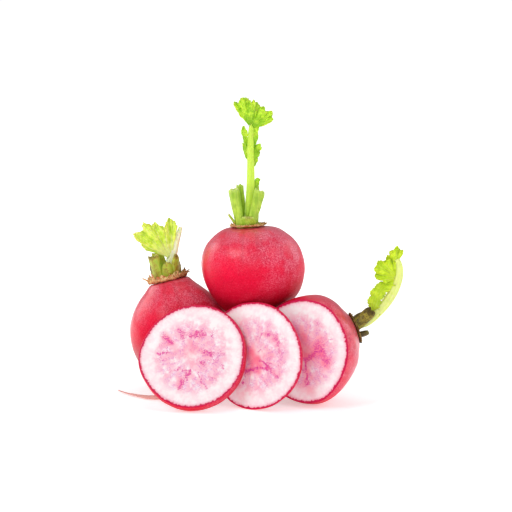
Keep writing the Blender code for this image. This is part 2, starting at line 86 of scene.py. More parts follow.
# Tails, as places from the crown and radii
TOP_TAIL = [
    (1.7, -1.1, -33.6, 2.1), (1.7, -1.1, -36.6, 1.9), (1.8, -0.9, -40.0, 1.5), (2.0, -0.1, -45.0, 1.2),
    (2.1, 1.3, -50.0, 1.05), (2.3, 3.5, -55.0, 0.95), (2.6, 6.4, -58.6, 0.85), (3.2, 9.8, -60.0, 0.75),
    (4.5, 13.0, -60.15, 0.62), (6.6, 15.8, -60.3, 0.4),
]
LEFT_TAIL = [
    (8.6, -3.1, -34.4, 2.4), (8.3, -7.1, -37.1, 1.7), (7.0, -11.4, -38.55, 1.2), (4.0, -15.9, -38.8, 1.0),
    (-0.3, -19.2, -38.95, 0.88), (-5.0, -19.4, -39.05, 0.8), (-9.8, -16.6, -39.15, 0.7),
    (-14.3, -12.2, -39.25, 0.55), (-18.3, -7.0, -39.35, 0.4),
]

# The cut that takes the third radish's cheek off, as a place in the layout and a normal
CUT_FACE, CUT_NORMAL = (17.2, -13.2, 19.1), (-0.45, -0.89, 0.08)

# Each slice: its face's middle, its normal, its thickness, how much wider its back is, and the radii of its
# edge at every 30 degrees from the right
FRONT_SLICE = {
    "face": (-22.7, -14.6, 18.1), "normal": (-0.124, -0.882, 0.454),
    "thickness": 3.8, "flare": 0.25,
    "edge": (18.8, 19.8, 19.9, 19.1, 18.5, 18.2, 18.4, 17.5, 17.3, 17.7, 18.0, 18.5),
}
MIDDLE_SLICE = {
    "face": (0.5, -14.0, 18.2), "normal": (-0.486, -0.841, 0.237),
    "thickness": 2.3, "flare": -0.9,
    "edge": (17.3, 16.9, 17.6, 18.5, 19.9, 20.9, 19.4, 18.7, 19.2, 18.7, 18.3, 18.0),
}

# Strokes of stain on a cut face, in mm from its middle: from x, y to x, y, then half width and strength
FRONT_STAIN = [
    (-9.6, 8.6, -6.6, 5.6, 1.1, 0.9), (-3.8, 10.2, -1.0, 8.2, 1.3, 0.55), (0.4, 8.0, 4.1, 8.6, 1.4, 0.7),
    (2.0, 9.6, 2.8, 7.6, 0.8, 0.9), (-3.4, 8.2, -2.2, 7.2, 1.0, 0.6), (8.4, 9.5, 7.2, 7.8, 1.2, 0.5),
    (4.6, 2.4, 7.2, 1.2, 1.2, 0.8), (9.8, 1.6, 11.8, 0.8, 1.3, 0.35), (11.3, -3.0, 11.8, -3.8, 0.6, 0.6),
    (3.8, -2.0, 5.4, -2.6, 0.8, 0.6), (-11.6, 1.8, -7.7, 2.4, 0.5, 0.75),
    (-11.2, -0.4, -8.5, 0.1, 1.2, 0.35), (-0.2, -4.4, -1.4, -6.6, 0.8, 0.9),
    (-1.2, -6.2, -4.0, -10.6, 0.9, 0.8), (-0.4, -4.6, -4.6, -3.8, 0.45, 0.6),
    (-4.6, -3.8, -8.4, -4.6, 0.4, 0.5), (2.8, -5.0, 3.9, -8.2, 0.4, 0.55),
    (3.9, -8.2, 5.6, -10.8, 0.5, 0.55), (6.6, -6.6, 9.2, -8.0, 0.5, 0.55),
    (-8.4, 4.2, -10.4, 5.4, 1.2, 0.4), (6.4, -1.0, 9.0, -1.6, 0.9, 0.35),
]
FRONT_GLOW = [
    (0.4, 3.4, 2.2, 4.2, 4.4, 0.5), (-4.2, 4.0, -5.8, 2.2, 2.4, 0.3), (-1.2, -5.4, -3.6, -9.6, 1.6, 0.45),
    (-8.8, 7.8, -7.0, 6.0, 2.0, 0.5), (4.6, 2.2, 7.0, 1.2, 2.0, 0.4), (0, 8.6, 3.0, 8.6, 2.2, 0.4),
    (0.5, -2.4, 3.5, -2.4, 2.0, 0.3), (-1.0, 16.0, 3.0, 16.0, 2.6, 0.18),
    (7.6, -7.8, 9.4, -6.6, 2.0, 0.2),
]
MIDDLE_STAIN = [
    (0.8, -1.7, 2.6, -2.9, 0.28, 1.0), (2.6, -2.9, 4.5, -4.6, 0.4, 1.0), (4.5, -4.6, 1.4, -4.4, 0.8, 1.0),
    (1.4, -4.4, -4.2, -5.2, 0.75, 0.95), (2.7, -2.6, 5.6, -3.0, 0.25, 0.8),
    (5.6, -3.0, 8.6, -4.0, 0.22, 0.7), (4.5, -4.6, 8.0, -7.6, 0.9, 0.55),
    (-3.9, -5.0, -5.8, -9.4, 0.6, 0.75), (0.5, 1.1, 1.3, 1.6, 0.3, 0.9), (-0.6, 6.0, 2.0, 7.4, 1.0, 0.5),
    (2.0, 7.4, 5.9, 6.8, 1.1, 0.55), (5.9, 6.8, 8.0, 4.4, 1.1, 0.55), (8.0, 4.4, 8.5, 0.4, 1.1, 0.5),
    (9.0, 4.2, 11.0, 5.0, 0.9, 0.3), (8.8, 0.5, 11.6, 0.2, 1.0, 0.3), (9.0, -2.4, 11.4, -3.6, 0.9, 0.25),
    (2.6, -8.6, 3.4, -10.6, 0.9, 0.35), (4.0, 9.0, 5.4, 12.0, 0.9, 0.25),
]
MIDDLE_GLOW = [
    (-6.0, 2.5, -4.0, 0.4, 3.6, 1.0), (-3.0, 0.6, -1.0, -2.5, 3.2, 0.95),
    (1.0, -4.4, -4.0, -5.0, 1.8, 0.9), (3.0, 6.8, 7.0, 5.0, 2.0, 0.4), (8.0, 3.0, 8.4, 0.0, 2.0, 0.35),
    (4.6, -4.8, 7.6, -7.0, 1.8, 0.4), (2.4, 0.5, 5.0, -0.5, 3.0, 0.4),
    (-12.0, -6.0, -6.0, -13.0, 3.0, 0.35),
]
CUT_STAIN = [
    (-0.5, -3.0, 2.2, -1.6, 0.7, 0.95), (2.2, -1.6, 4.9, 3.6, 0.9, 0.8),
    (0.0, -3.2, 0.6, -10.6, 0.75, 1.0), (-0.8, -2.4, 4.5, 0.6, 0.5, 0.7), (4.9, 3.4, 9.8, 5.5, 0.25, 0.5),
    (5.0, 3.4, 7.8, -2.8, 1.6, 0.6), (4.2, 10.6, 5.6, 9.8, 0.9, 0.35), (6.0, 8.0, 6.8, 6.4, 0.6, 0.25),
    (5.8, -6.0, 6.4, -7.4, 0.7, 0.35), (3.2, 2.6, 7.2, 3.4, 0.6, 0.5), (-2.4, -3.6, -1.0, -6.4, 0.7, 0.6),
]
CUT_GLOW = [
    (0.0, 0.0, 5.0, 1.0, 4.0, 0.85), (4.4, 3.6, 7.4, -2.8, 2.8, 0.8), (-2.0, 5.0, -4.0, -4.0, 4.6, 0.85),
    (0.2, -4.0, 0.6, -9.6, 2.2, 0.55), (-4.0, -9.0, 2.0, -13.0, 3.6, 0.4),
]

# Cut leaf stalks round each crown: turn about the crown, distance of the foot from its middle, lean outwards,
# lean sideways, length, width, thickness, how dry it is and how far its top tapers, both from 0 to 1. Turns
# and leans are in degrees.
TOP_STUBS = [
    (212, 3.1, 7, 4, 13.2, 4.6, 3.4, 0.0, 0), (292, 3.1, 4, -17, 12.8, 3.7, 2.7, 0.05, 0),
    (28, 3.1, 4, 0, 14.2, 3.3, 2.4, 0.0, 0.2), (128, 3.1, 3, 0, 14.2, 3.3, 2.3, 0.0, 0.2),
    (80, 3.5, 11, 0, 8.4, 3.5, 2.2, 0.1, 0.3), (272, 3.6, 26, 0, 3.6, 5.6, 1.9, 0.30, 0.3),
    (190, 3.8, 36, 0, 5.0, 2.8, 1.4, 0.42, 0.4),
]
LEFT_STUBS = [
    (222, 3.8, 4, 0, 9.4, 5.0, 2.8, 0.48, 0), (284, 3.8, 3, 0, 5.9, 4.6, 2.9, 0.50, 0.5),
    (326, 3.6, 13, -6, 8.4, 4.4, 2.4, 0.52, 0.6), (8, 4.0, 12, 0, 5.8, 3.2, 2.1, 0.7, 0.6),
    (112, 3.8, 5, 0, 10.2, 5.0, 2.6, 0.4, 0.2), (66, 3.8, 11, 0, 8.2, 3.8, 2.4, 0.4, 0.5),
    (174, 4.1, 7, 0, 6.2, 3.4, 2.1, 0.8, 0.5),
]
CUT_STUBS = [
    (238, 2.3, 9, 18, 8.2, 4.8, 3.3, 0.8, 0.3), (318, 2.9, 8, 0, 3.6, 3.4, 2.0, 1.0, 0.4),
    (158, 3.0, 10, 0, 5.0, 3.6, 2.0, 1.0, 0.4), (20, 3.2, 10, 0, 3.2, 3.4, 1.8, 1.0, 0.5),
]

# Ring of dry leaf scars round each crown: inner and outer radius, and height
TOP_COLLAR = (5.2, 6.3, 1.1)
LEFT_COLLAR = (5.8, 7.3, 2.6)
CUT_COLLAR = (4.6, 5.6, 1.1)

# Stalks of the young leaves, as places from the crown and radii
TOP_STALK = [
    (0.0, 0.3, 1.8, 1.15), (0.3, 0.2, 5.6, 1.35), (1.0, 0.0, 14.0, 1.45), (1.1, 0.0, 21.7, 1.3),
    (1.0, 0.0, 28.8, 1.2), (1.25, 0.1, 34.2, 1.0), (1.4, 0.5, 37.0, 0.6), (1.5, 0.9, 39.5, 0.25),
]
LEFT_STALK = [
    (-0.2, 0.3, 3.3, 1.2), (0.6, 0.9, 6.2, 1.35), (1.9, 1.2, 9.7, 1.4), (3.0, 1.0, 14.2, 1.2),
    (4.1, 0.7, 17.7, 0.9), (4.6, 0.8, 19.5, 0.6),
]
CUT_STALK = [
    (2.0, 1.5, 0.6, 1.0), (5.0, 2.1, 2.0, 1.35), (8.2, 2.5, 4.9, 1.55), (11.8, 2.7, 9.1, 1.65),
    (14.4, 3.1, 13.5, 1.65), (15.9, 3.4, 18.0, 1.5), (16.0, 3.4, 21.6, 1.25), (15.2, 3.4, 24.2, 0.9),
]

# What each point of a cut stalk keeps for its finish: the way up, how dry, how freshly cut, and its ribs
STALK_VALUES = ("along", "dry", "cut", "rib")


def tint(red, green, blue):
    """A linear colour from the red, green and blue of a screen colour, from 0 to 255."""
    shares = [value / 255 for value in (red, green, blue)]
    return (*[s / 12.92 if s <= 0.04045 else ((s + 0.055) / 1.055) ** 2.4 for s in shares], 1.0)


# Node trees


class Field:
    """A value that changes over a surface. Its operators add Math nodes to its tree."""

    def __init__(self, tree, socket):
        self.tree, self.socket = tree, socket

    def math(self, operation, *others):
        values = (self, *others)
        return self.tree.add("ShaderNodeMath", {"operation": operation}, dict(enumerate(values)))

    def __add__(self, other):
        return self.math("ADD", other)

    def __sub__(self, other):
        return self.math("SUBTRACT", other)

    def __mul__(self, other):
        return self.math("MULTIPLY", other)

    def __truediv__(self, other):
        return self.math("DIVIDE", other)

    def __rsub__(self, other):
        return self.tree.add("ShaderNodeMath", {"operation": "SUBTRACT"}, {0: other, 1: self})

    __radd__, __rmul__ = __add__, __mul__

    def between(self, low, high):
        """0 at low and 1 at high, smoothly, and no further."""
        return self.tree.add("ShaderNodeMapRange", {"interpolation_type": "SMOOTHSTEP"},
                             {0: self, 1: low, 2: high})


class Tree:
    """A node tree with one way to add a node: its settings first, then its sockets' values or links."""

    def __init__(self, tree):
        self.tree = tree

    def add(self, kind, settings=None, sockets=None, out=0):
        node = self.tree.nodes.new(kind)
        for name, value in (settings or {}).items():
            setattr(node, name, value)
        for key, value in (sockets or {}).items():
            self.fill(node.inputs[key], value)
        if isinstance(out, tuple):
            return [Field(self, node.outputs[key]) for key in out]
        return Field(self, node.outputs[out])

    def fill(self, socket, value):
        if isinstance(value, Field):
            self.tree.links.new(value.socket, socket)
        else:
            socket.default_value = value

    def grain(self, place, scale, detail=2.0, roughness=0.5):
        """Soft noise from about 0.25 to 0.75, with so many blots to a unit of length."""
        return self.add("ShaderNodeTexNoise", None,
                        {"Vector": place, "Scale": scale, "Detail": detail, "Roughness": roughness})

    def stretched(self, place, scale):
        return self.add("ShaderNodeVectorMath", {"operation": "MULTIPLY"}, {0: place, 1: scale})

    def split(self, place):
        return self.add("ShaderNodeSeparateXYZ", None, {0: place}, (0, 1, 2))

    def built(self, x, y, z):
        return self.add("ShaderNodeCombineXYZ", None, {0: x, 1: y, 2: z})


class Paint(Tree):
    """A material: a Principled shader with its constants, and the fields that feed it."""

    def __init__(self, name, **constants):
        self.material = bpy.data.materials.new(name)
        self.material.use_nodes = True
        super().__init__(self.material.node_tree)
        self.shader = self.tree.nodes["Principled BSDF"]
        for key, value in constants.items():
            self.shader.inputs[key.replace("_", " ")].default_value = value

    def read(self, attribute):
        return self.add("ShaderNodeAttribute", {"attribute_name": attribute}, out="Vector")

    def number(self, attribute):
        return self.add("ShaderNodeAttribute", {"attribute_name": attribute}, out="Fac")

    def mix(self, share, a, b):
        return self.add("ShaderNodeMix", {"data_type": "RGBA"}, {0: share, 6: a, 7: b}, 2)

    def feed(self, socket, field):
        self.fill(self.shader.inputs[socket], field)

    def bump(self, height, distance, strength=1.0):
        self.feed("Normal", self.add("ShaderNodeBump", None, {"Height": height, "Distance": distance,
                                                              "Strength": strength}))


class Recipe(Tree):
    """A Geometry Nodes tree with named inputs for its sizes. It ends by making its pieces real."""

    def __init__(self, name, sizes):
        group = bpy.data.node_groups.new(name, "GeometryNodeTree")
        group.interface.new_socket("Geometry", in_out="INPUT", socket_type="NodeSocketGeometry")
        for size, value in sizes.items():
            kind = "NodeSocketInt" if isinstance(value, int) else "NodeSocketFloat"
            group.interface.new_socket(size, in_out="INPUT", socket_type=kind).default_value = value
        group.interface.new_socket("Geometry", in_out="OUTPUT", socket_type="NodeSocketGeometry")
        super().__init__(group)
        self.start = group.nodes.new("NodeGroupInput")
        self.end = group.nodes.new("NodeGroupOutput")

    def ask(self, name):
        return Field(self, self.start.outputs[name])

    def moved(self, geometry, **how):
        return self.add("GeometryNodeSetPosition", None, {"Geometry": geometry, **how})

    def scaled(self, vector, scale):
        return self.add("ShaderNodeVectorMath", {"operation": "SCALE"}, {0: vector, "Scale": scale})

    def finish(self, geometry, material):
        real = self.add("GeometryNodeRealizeInstances", None, {"Geometry": geometry})
        painted = self.add("GeometryNodeSetMaterial", None, {"Geometry": real, "Material": material})
        self.fill(self.end.inputs[0], painted)
        return self

    def make(self, data, **sizes):
        """The plain mesh that the recipe makes of a mesh or curve."""
        obj = placed("making", data)
        recipe = obj.modifiers.new("recipe", "NODES")
        recipe.node_group = self.tree
        for item in self.tree.interface.items_tree:
            key = item.name.replace(" ", "_").lower()
            if item.in_out == "INPUT" and key in sizes:
                recipe[item.identifier] = sizes[key]
        return settled(obj)


# Meshes


def settled(obj):
    """The object's evaluated shape as a plain mesh. The object is removed."""
    bpy.context.view_layer.update()
    shape = obj.evaluated_get(bpy.context.evaluated_depsgraph_get())
    mesh = bpy.data.meshes.new_from_object(shape)
    bpy.data.objects.remove(obj)
    return mesh


def placed(name, data):
    """A new object in the scene."""
    obj = bpy.data.objects.new(name, data)
    bpy.context.scene.collection.objects.link(obj)
    return obj


def with_modifier(mesh, kind, **settings):
    obj = placed("making", mesh)
    modifier = obj.modifiers.new(kind, kind)
    for name, value in settings.items():
        setattr(modifier, name, value)
    return settled(obj)


def mesh_from(points, faces):
    mesh = bpy.data.meshes.new("mesh")
    mesh.from_pydata([tuple(point) for point in points], [], faces)
    return mesh


def opened(mesh):
    """The mesh, open to be edited."""
    bm = bmesh.new()
    bm.from_mesh(mesh)
    return bm


def close(bm, mesh):
    """Writes what was edited back to the mesh, with its faces outwards."""
    bmesh.ops.recalc_face_normals(bm, faces=bm.faces)
    bm.to_mesh(mesh)
    bm.free()


def tidy(mesh):
    """Merges points that lie on each other and points the faces outwards."""
    bm = opened(mesh)
    bmesh.ops.remove_doubles(bm, verts=bm.verts, dist=MERGE * MM)
    close(bm, mesh)
    return mesh


def together(meshes):
    """One mesh of several, with their attributes and materials."""
    objects = [placed("part", mesh) for mesh in meshes]
    with bpy.context.temp_override(active_object=objects[0], selected_editable_objects=objects,
                                   selected_objects=objects, object=objects[0]):
        bpy.ops.object.join()
    mesh = objects[0].data
    bpy.data.objects.remove(objects[0])
    return mesh


def places(mesh):
    flat = np.empty(len(mesh.vertices) * 3)
    mesh.vertices.foreach_get("co", flat)
    return flat.reshape(-1, 3)


def put_places(mesh, points):
    mesh.vertices.foreach_set("co", np.asarray(points, np.float32).ravel())
    mesh.update()


def write(mesh, name, values):
    """Keeps a number or a vector for each point of the mesh, for its material to read."""
    values = np.asarray(values, np.float32)
    kind, key = ("FLOAT", "value") if values.ndim == 1 else ("FLOAT_VECTOR", "vector")
    attribute = mesh.attributes.get(name) or mesh.attributes.new(name, kind, "POINT")
    attribute.data.foreach_set(key, values.ravel())


def relaxed(mesh, rounds, weight=0.5):
    """Moves each point towards its neighbours' middle, by a weight for all or for each point."""
    points = places(mesh)
    size = len(points)
    edges = np.empty(len(mesh.edges) * 2, np.int64)
    mesh.edges.foreach_get("vertices", edges)
    a, b = edges.reshape(-1, 2).T
    count = np.bincount(np.concatenate((a, b)), minlength=size)[:, None]
    share = np.broadcast_to(np.asarray(weight, float), (size,))[:, None]
    for _ in range(rounds):
        total = np.stack([np.bincount(a, points[b, axis], size) + np.bincount(b, points[a, axis], size)
                          for axis in range(3)], 1)
        points = points + share * (total / count - points)
    put_places(mesh, points)
    return mesh


def rolled(points, scale, seed):
    """Smooth noise from -1 to 1 at each point, given in mm, with so many blots to a mm."""
    shift = Vector((seed * 17.3, seed * -9.1, seed * 5.7))
    return np.array([noise.noise(Vector(point) * scale + shift) for point in points])


def smooth(values, low, high):
    share = np.clip((values - low) / (high - low), 0, 1)
    return share * share * (3 - 2 * share)


# Layout


def in_layout(place):
    """A place of the layout as a point in metres."""
    return Vector(place) * MM - MIDDLE


def beside(crown, place):
    """A place from a crown as a point in metres."""
    return in_layout(Vector(crown) + Vector(place))


def frame_at(place, up, towards):
    """The frame at a place of the layout, with +Z along up and +X as near to towards as that lets."""
    z = Vector(up).normalized()
    x = Vector(towards)
    x = (x - x.dot(z) * z).normalized()
    y = z.cross(x)
    return Matrix.Translation(in_layout(place)) @ Matrix((x, y, z)).transposed().to_4x4()


def seen_from(matrix, points):
    """Points in metres as places in mm in a frame."""
    inverse = np.array(matrix.inverted())
    return (np.asarray(points) @ inverse[:3, :3].T + inverse[:3, 3]) / MM


def set_in(matrix, points):
    """Places in mm in a frame as points in metres."""
    forward = np.array(matrix)
    return (np.asarray(points) * MM) @ forward[:3, :3].T + forward[:3, 3]


def through(keys, per_span):
    """Rows on a smooth curve through the keys, with per_span of them to each span."""
    keys = np.array(keys, float)
    ends = np.vstack((2 * keys[0] - keys[1], keys, 2 * keys[-1] - keys[-2]))
    t = (np.arange(per_span) / per_span)[:, None]
    rows = [0.5 * (2 * b + (c - a) * t + (2 * a - 5 * b + 4 * c - d) * t**2 + (3 * b - a - 3 * c + d) * t**3)
            for a, b, c, d in zip(ends, ends[1:], ends[2:], ends[3:])]
    return np.vstack(rows + [keys[-1:]])


def round_faces(rings, sides):
    """Quads between rings of points that close round."""
    return [(r * sides + s, r * sides + (s + 1) % sides,
             (r + 1) * sides + (s + 1) % sides, (r + 1) * sides + s)
            for r in range(rings - 1) for s in range(sides)]


def closed_faces(rings, sides):
    """The same, with a face at each end."""
    return round_faces(rings, sides) + [tuple(range(sides))[::-1],
                                        tuple(range((rings - 1) * sides, rings * sides))]


def turns(sides):
    return np.arange(sides) / sides * math.tau


def hoop(reach, height, angle):
    """Points round the Z axis."""
    return np.column_stack((reach * np.cos(angle), reach * np.sin(angle), height + 0 * angle))


# Finishes


def skin_paint():
    """Waxy red skin: crimson, with a pale pink blush of fine specks that is partly the skin's own and partly
    painted highlight on the shoulders and right side, and painted shade as darker red below.
    """
    paint = Paint("radish_skin", Subsurface_Weight=0.10, Subsurface_Scale=0.0010,
                  Subsurface_Radius=(1.0, 0.2, 0.15), Specular_IOR_Level=0.10,
                  Specular_Tint=(1.0, 0.72, 0.76, 1.0), Coat_Roughness=0.30, Coat_IOR=1.5)
    crimson, painted_shade_red, dark, darkest = tint(236, 0, 56), tint(146, 0, 20), tint(206, 0, 42), tint(140, 0, 24)
    # The pink and speckle tints of the blush, which also paint soft highlights
    rose_and_sheen, dust, pale, streak = tint(222, 66, 100), tint(246, 146, 168), tint(250, 120, 146), tint(150, 8, 30)
    place = paint.read("from_crown")
    x, y, z = paint.split(place)
    blots = paint.grain(place, 0.10, 2.0)
    cloud = paint.grain(place, 0.20, 3.0, 0.6)
    specks = paint.grain(place, 2.5, 2.0, 0.7)
    fine = paint.grain(place, 5.0, 1.0)
    reach = (x * x + y * y).math("SQRT") + 0.5
    # Lines that run down from the crown
    streaks = paint.grain(paint.built(x / reach * 9.0, y / reach * 9.0, z * 0.10), 1.0, 2.0, 0.6)
    shoulder = z.between(-17.0, -2.0)
    # Painted shade: the skin gets darker red towards its lower part
    low = z.between(-12.0, -31.0)
    # A patch on the right side, partly the skin's own blush and partly painted highlight
    side = x.between(-2.0, 14.0) * z.between(-28.0, -10.0)
    # Where the skin turns pale pink: partly its own waxy film, partly painted highlights on the shoulders and
    # right side
    bloom_and_sheen_mask = (shoulder * 0.50 + side * 0.60 + 0.03) * (cloud.between(0.34, 0.64) * 1.15 + 0.30)
    bloom_and_sheen = bloom_and_sheen_mask.math("MINIMUM", 1.0)
    # Painted shade: darker red lower down
    red = paint.mix(low * 0.9, crimson, painted_shade_red)
    red = paint.mix(blots.between(0.35, 0.62) * 0.35, red, dark)
    # Painted highlight, in part: the pink blush and its pale specks also stand for soft reflections of the
    # lamps
    red = paint.mix(bloom_and_sheen * 0.60, red, rose_and_sheen)
    red = paint.mix(streaks.between(0.5, 0.68) * shoulder * 0.20, red, streak)
    red = paint.mix(bloom_and_sheen * specks.between(0.44, 0.63) * 0.72, red, dust)
    red = paint.mix(specks.between(0.58, 0.70) * 0.12, red, pale)
    red = paint.mix(specks.between(0.46, 0.34) * 0.32, red, darkest)
    # The rough ring at the crown, and the tail
    ring = (1.0 - reach.between(5.0, 9.5)) * z.between(-5.0, -2.0)
    red = paint.mix(ring * 0.75, red, paint.mix(specks, tint(208, 100, 90), tint(160, 36, 44)))
    root_tip = paint.mix(specks, tint(240, 190, 178), tint(214, 136, 134))
    red = paint.mix(paint.number("tail") * 0.9, red, root_tip)
    paint.feed("Base Color", red)
    paint.feed("Roughness", 0.36 + bloom_and_sheen * 0.14 + fine * 0.12)
    paint.feed("Coat Weight", (shoulder + x.between(-11.0, -17.0) * 0.6) * (0.5 + blots))
    paint.bump(specks * 0.8 + fine * 0.4 + cloud * 0.8, 0.00012, 0.8)
    return paint.material


def flesh_paint():
    """Wet cut flesh: white with pink clouds, violet flecks that run out from the middle, and a thin skin."""
    paint = Paint("radish_flesh", Roughness=0.40, Subsurface_Weight=0.22, Subsurface_Scale=0.0010,
                  Subsurface_Radius=(1.0, 0.55, 0.5), Specular_IOR_Level=0.25)
    white, milk, blush = tint(250, 240, 241), tint(250, 240, 240), tint(246, 190, 206)
    salmon, pink, violet = tint(250, 124, 150), tint(246, 140, 176), tint(218, 100, 190)
    wine, plum = tint(236, 20, 120), tint(220, 74, 164)
    x, y, rim = paint.split(paint.read("on_face"))
    flat = paint.built(x, y, 0.0)
    stain, glow = paint.number("stain"), paint.number("glow")
    reach = (x * x + y * y).math("SQRT") + 0.3
    # Noise that runs out from the middle, broad and thin
    rays = paint.grain(paint.built(x / reach * 7.0, y / reach * 7.0, reach * 0.35), 1.0, 2.0, 0.6)
    thin_rays = paint.grain(paint.built(x / reach * 22.0, y / reach * 22.0, reach * 0.5), 1.0, 1.0)
    cells = paint.grain(flat, 2.4, 2.0, 0.6)
    cloud = paint.grain(flat, 0.30, 2.0, 0.55)
    blots = paint.grain(flat, 0.75, 2.0, 0.6)
    inner = rim.between(3.0, 7.5)
    flesh = paint.mix(cloud.between(0.36, 0.60) * (inner * 0.7 + 0.3), white, blush)
    flesh = paint.mix(blots.between(0.50, 0.64) * 0.55, flesh, milk)
    flesh = paint.mix(glow.between(0.0, 0.9) * (cloud * 0.8 + cells * 0.5 + 0.25), flesh, salmon)
    ring = reach.between(1.5, 5.0) * (1.0 - reach.between(10.5, 14.0))
    flesh = paint.mix(ring * (blots.between(0.40, 0.62) * 0.30 + 0.04), flesh, pink)
    dust = ring * rays.between(0.42, 0.60) * cells.between(0.44, 0.58)
    flesh = paint.mix(dust * 0.60, flesh, violet)
    flecks = stain * (0.14 + rays.between(0.36, 0.6) * 0.55 + cells.between(0.43, 0.57) * 0.75)
    stained = paint.mix(cells.between(0.35, 0.65), wine, plum)
    flesh = paint.mix(flecks.between(0.06, 0.85) * 0.94, flesh, stained)
    edge = 1.0 - rim.between(0.5, 3.4)
    flesh = paint.mix(edge * thin_rays.between(0.4, 0.65) * 0.35, flesh, tint(244, 160, 184))
    # The skin's edge, with small teeth of colour that run in from it
    toothed = rim + ((thin_rays - 0.5) * 1.3 + (cells - 0.5) * 0.7)
    flesh = paint.mix((1.0 - toothed.between(0.6, 1.8)) * 0.5, flesh, tint(226, 70, 130))
    skin = 1.0 - toothed.between(0.62, 0.92)
    flesh = paint.mix(skin, flesh, paint.mix(cells, tint(186, 0, 62), tint(220, 0, 84)))
    paint.feed("Base Color", flesh)
    paint.bump(cells * 0.5 + blots * 1.2 + thin_rays * 0.3 - flecks * 0.3, 0.00010, 0.6)
    return paint.material


def stalk_paint():
    """Green stalk, paler at its foot and its cut top, and brown and spotted where it is dry."""
    paint = Paint("leaf_stalk", Roughness=0.45, Subsurface_Weight=0.2, Subsurface_Scale=0.0012,
                  Subsurface_Radius=(0.6, 1.0, 0.2), Specular_IOR_Level=0.3)
    place = paint.read("from_crown")
    along, dry, cut, rib = (paint.number(name) for name in STALK_VALUES)
    cloud = paint.grain(place, 0.4, 3.0, 0.55)
    cells = paint.grain(place, 2.6, 2.0, 0.6)
    lines = paint.grain(paint.stretched(place, (2.4, 2.4, 0.12)), 1.0, 1.0)
    green = paint.mix(cloud.between(0.35, 0.65), tint(150, 190, 46), tint(186, 216, 68))
    green = paint.mix(rib * 0.30, green, tint(210, 230, 104))
    green = paint.mix(lines.between(0.46, 0.64) * 0.35, green, tint(112, 156, 28))
    green = paint.mix((1.0 - along.between(0.0, 0.30)) * 0.5, green, tint(190, 200, 84))
    green = paint.mix(cut, green, paint.mix(cells.between(0.4, 0.6), tint(222, 234, 144), tint(170, 200, 80)))
    # Straw where it starts to dry, then brown, then nearly black
    very = dry.between(0.50, 0.85)
    aged = cloud.between(0.4, 0.62)
    straw = paint.mix(aged, tint(206, 190, 74), tint(164, 142, 44))
    brown = paint.mix(very, straw, paint.mix(aged, tint(168, 150, 52), tint(98, 80, 20)))
    brown = paint.mix(cells.between(0.52, 0.60) * (very * 0.7 + 0.2), brown, tint(52, 32, 8))
    brown = paint.mix(dry.between(0.75, 1.0) * 0.6, brown, tint(58, 42, 12))
    spotted = (dry + (cloud - 0.5) * 0.9 + (cells - 0.5) * 0.7).between(0.28, 0.72)
    paint.feed("Base Color", paint.mix(spotted, green, brown))
    paint.bump(lines * 0.5 + cells * 0.5, 0.00014, 0.6)
    return paint.material


def leaf_paint(name, young, ripe, pale, base):
    """Soft young leaf in four tints: lime, with pale ribs that fan out, painted shade in its folds and a few
    brown tips.
    """
    paint = Paint(name, Roughness=0.5, Subsurface_Weight=0.3, Subsurface_Scale=0.0010,
                  Subsurface_Radius=(0.8, 1.0, 0.15), Specular_IOR_Level=0.2)
    shade, tan = (0.04, 0.10, 0.004, 1), tint(190, 170, 60)
    place = paint.add("ShaderNodeTexCoord", out="Object")
    # Across the blade from -1 to 1, up it from 0 to 1, and 1 on a blade and 0 on a stalk
    across, up, leafy = paint.split(paint.read("blade"))
    fold = paint.number("fold")
    cloud = paint.grain(place, 420.0, 3.0, 0.6)
    cells = paint.grain(place, 1900.0, 2.0, 0.6)
    ribs = (across * 8.0 + (cloud - 0.5) * 1.2).math("SINE").math("ABSOLUTE")
    forks = (across * 23.0 + up * 3.0 + (cloud - 0.5) * 2.5).math("SINE").math("ABSOLUTE")
    vein = ((1.0 - ribs.between(0.0, 0.22)) * (1.0 - up.between(0.5, 0.95))
            + (1.0 - forks.between(0.0, 0.25)) * up.between(0.15, 0.5) * 0.45)
    green = paint.mix(cloud.between(0.38, 0.64), ripe, young)
    green = paint.mix(up.between(0.6, 1.0) * 0.4, green, young)
    # Painted shade: darker green where the blade is pushed back in its folds and crinkles
    green = paint.mix(fold.between(-0.1, 0.9) * 0.55, green, paint.mix(0.55, ripe, shade))
    green = paint.mix((1.0 - up.between(0.10, 0.50)) * 0.75, green, base)
    green = paint.mix(vein * 0.7, green, pale)
    green = paint.mix(cells.between(0.54, 0.66) * 0.3, green, ripe)
    green = paint.mix(up.between(0.93, 1.0) * cells.between(0.50, 0.60) * 0.55, green, tan)
    lines = paint.grain(paint.stretched(place, (2600.0, 2600.0, 200.0)), 1.0, 1.0)
    stalk = paint.mix(lines.between(0.40, 0.66) * 0.28, pale, young)
    paint.feed("Base Color", paint.mix(leafy, stalk, green))
    paint.bump(vein * -0.8 + cloud * 1.4 + cells * 0.6, 0.00016, 0.9)
    return paint.material


def scar_paint():
    """Dry leaf scars: papery tan and orange-brown fibres with red feet, and dark where they are old."""
    paint = Paint("dry_collar", Roughness=0.78, Specular_IOR_Level=0.2, Subsurface_Weight=0.1,
                  Subsurface_Scale=0.0008)
    place = paint.add("ShaderNodeTexCoord", out="Object")
    cloud = paint.grain(place, 700.0, 3.0, 0.65)
    cells = paint.grain(place, 2600.0, 2.0, 0.6)
    shade = paint.mix(cloud.between(0.34, 0.58), tint(204, 116, 68), tint(238, 204, 140))
    shade = paint.mix(cells.between(0.52, 0.66) * 0.65, shade, tint(140, 56, 34))
    shade = paint.mix(paint.number("foot") * 0.8, shade, tint(170, 24, 40))
    bark = paint.mix(cloud.between(0.4, 0.6), tint(58, 44, 16), tint(120, 96, 40))
    paint.feed("Base Color", paint.mix(paint.number("old"), shade, bark))
    paint.bump(cloud + cells, 0.0003, 0.9)
    return paint.material


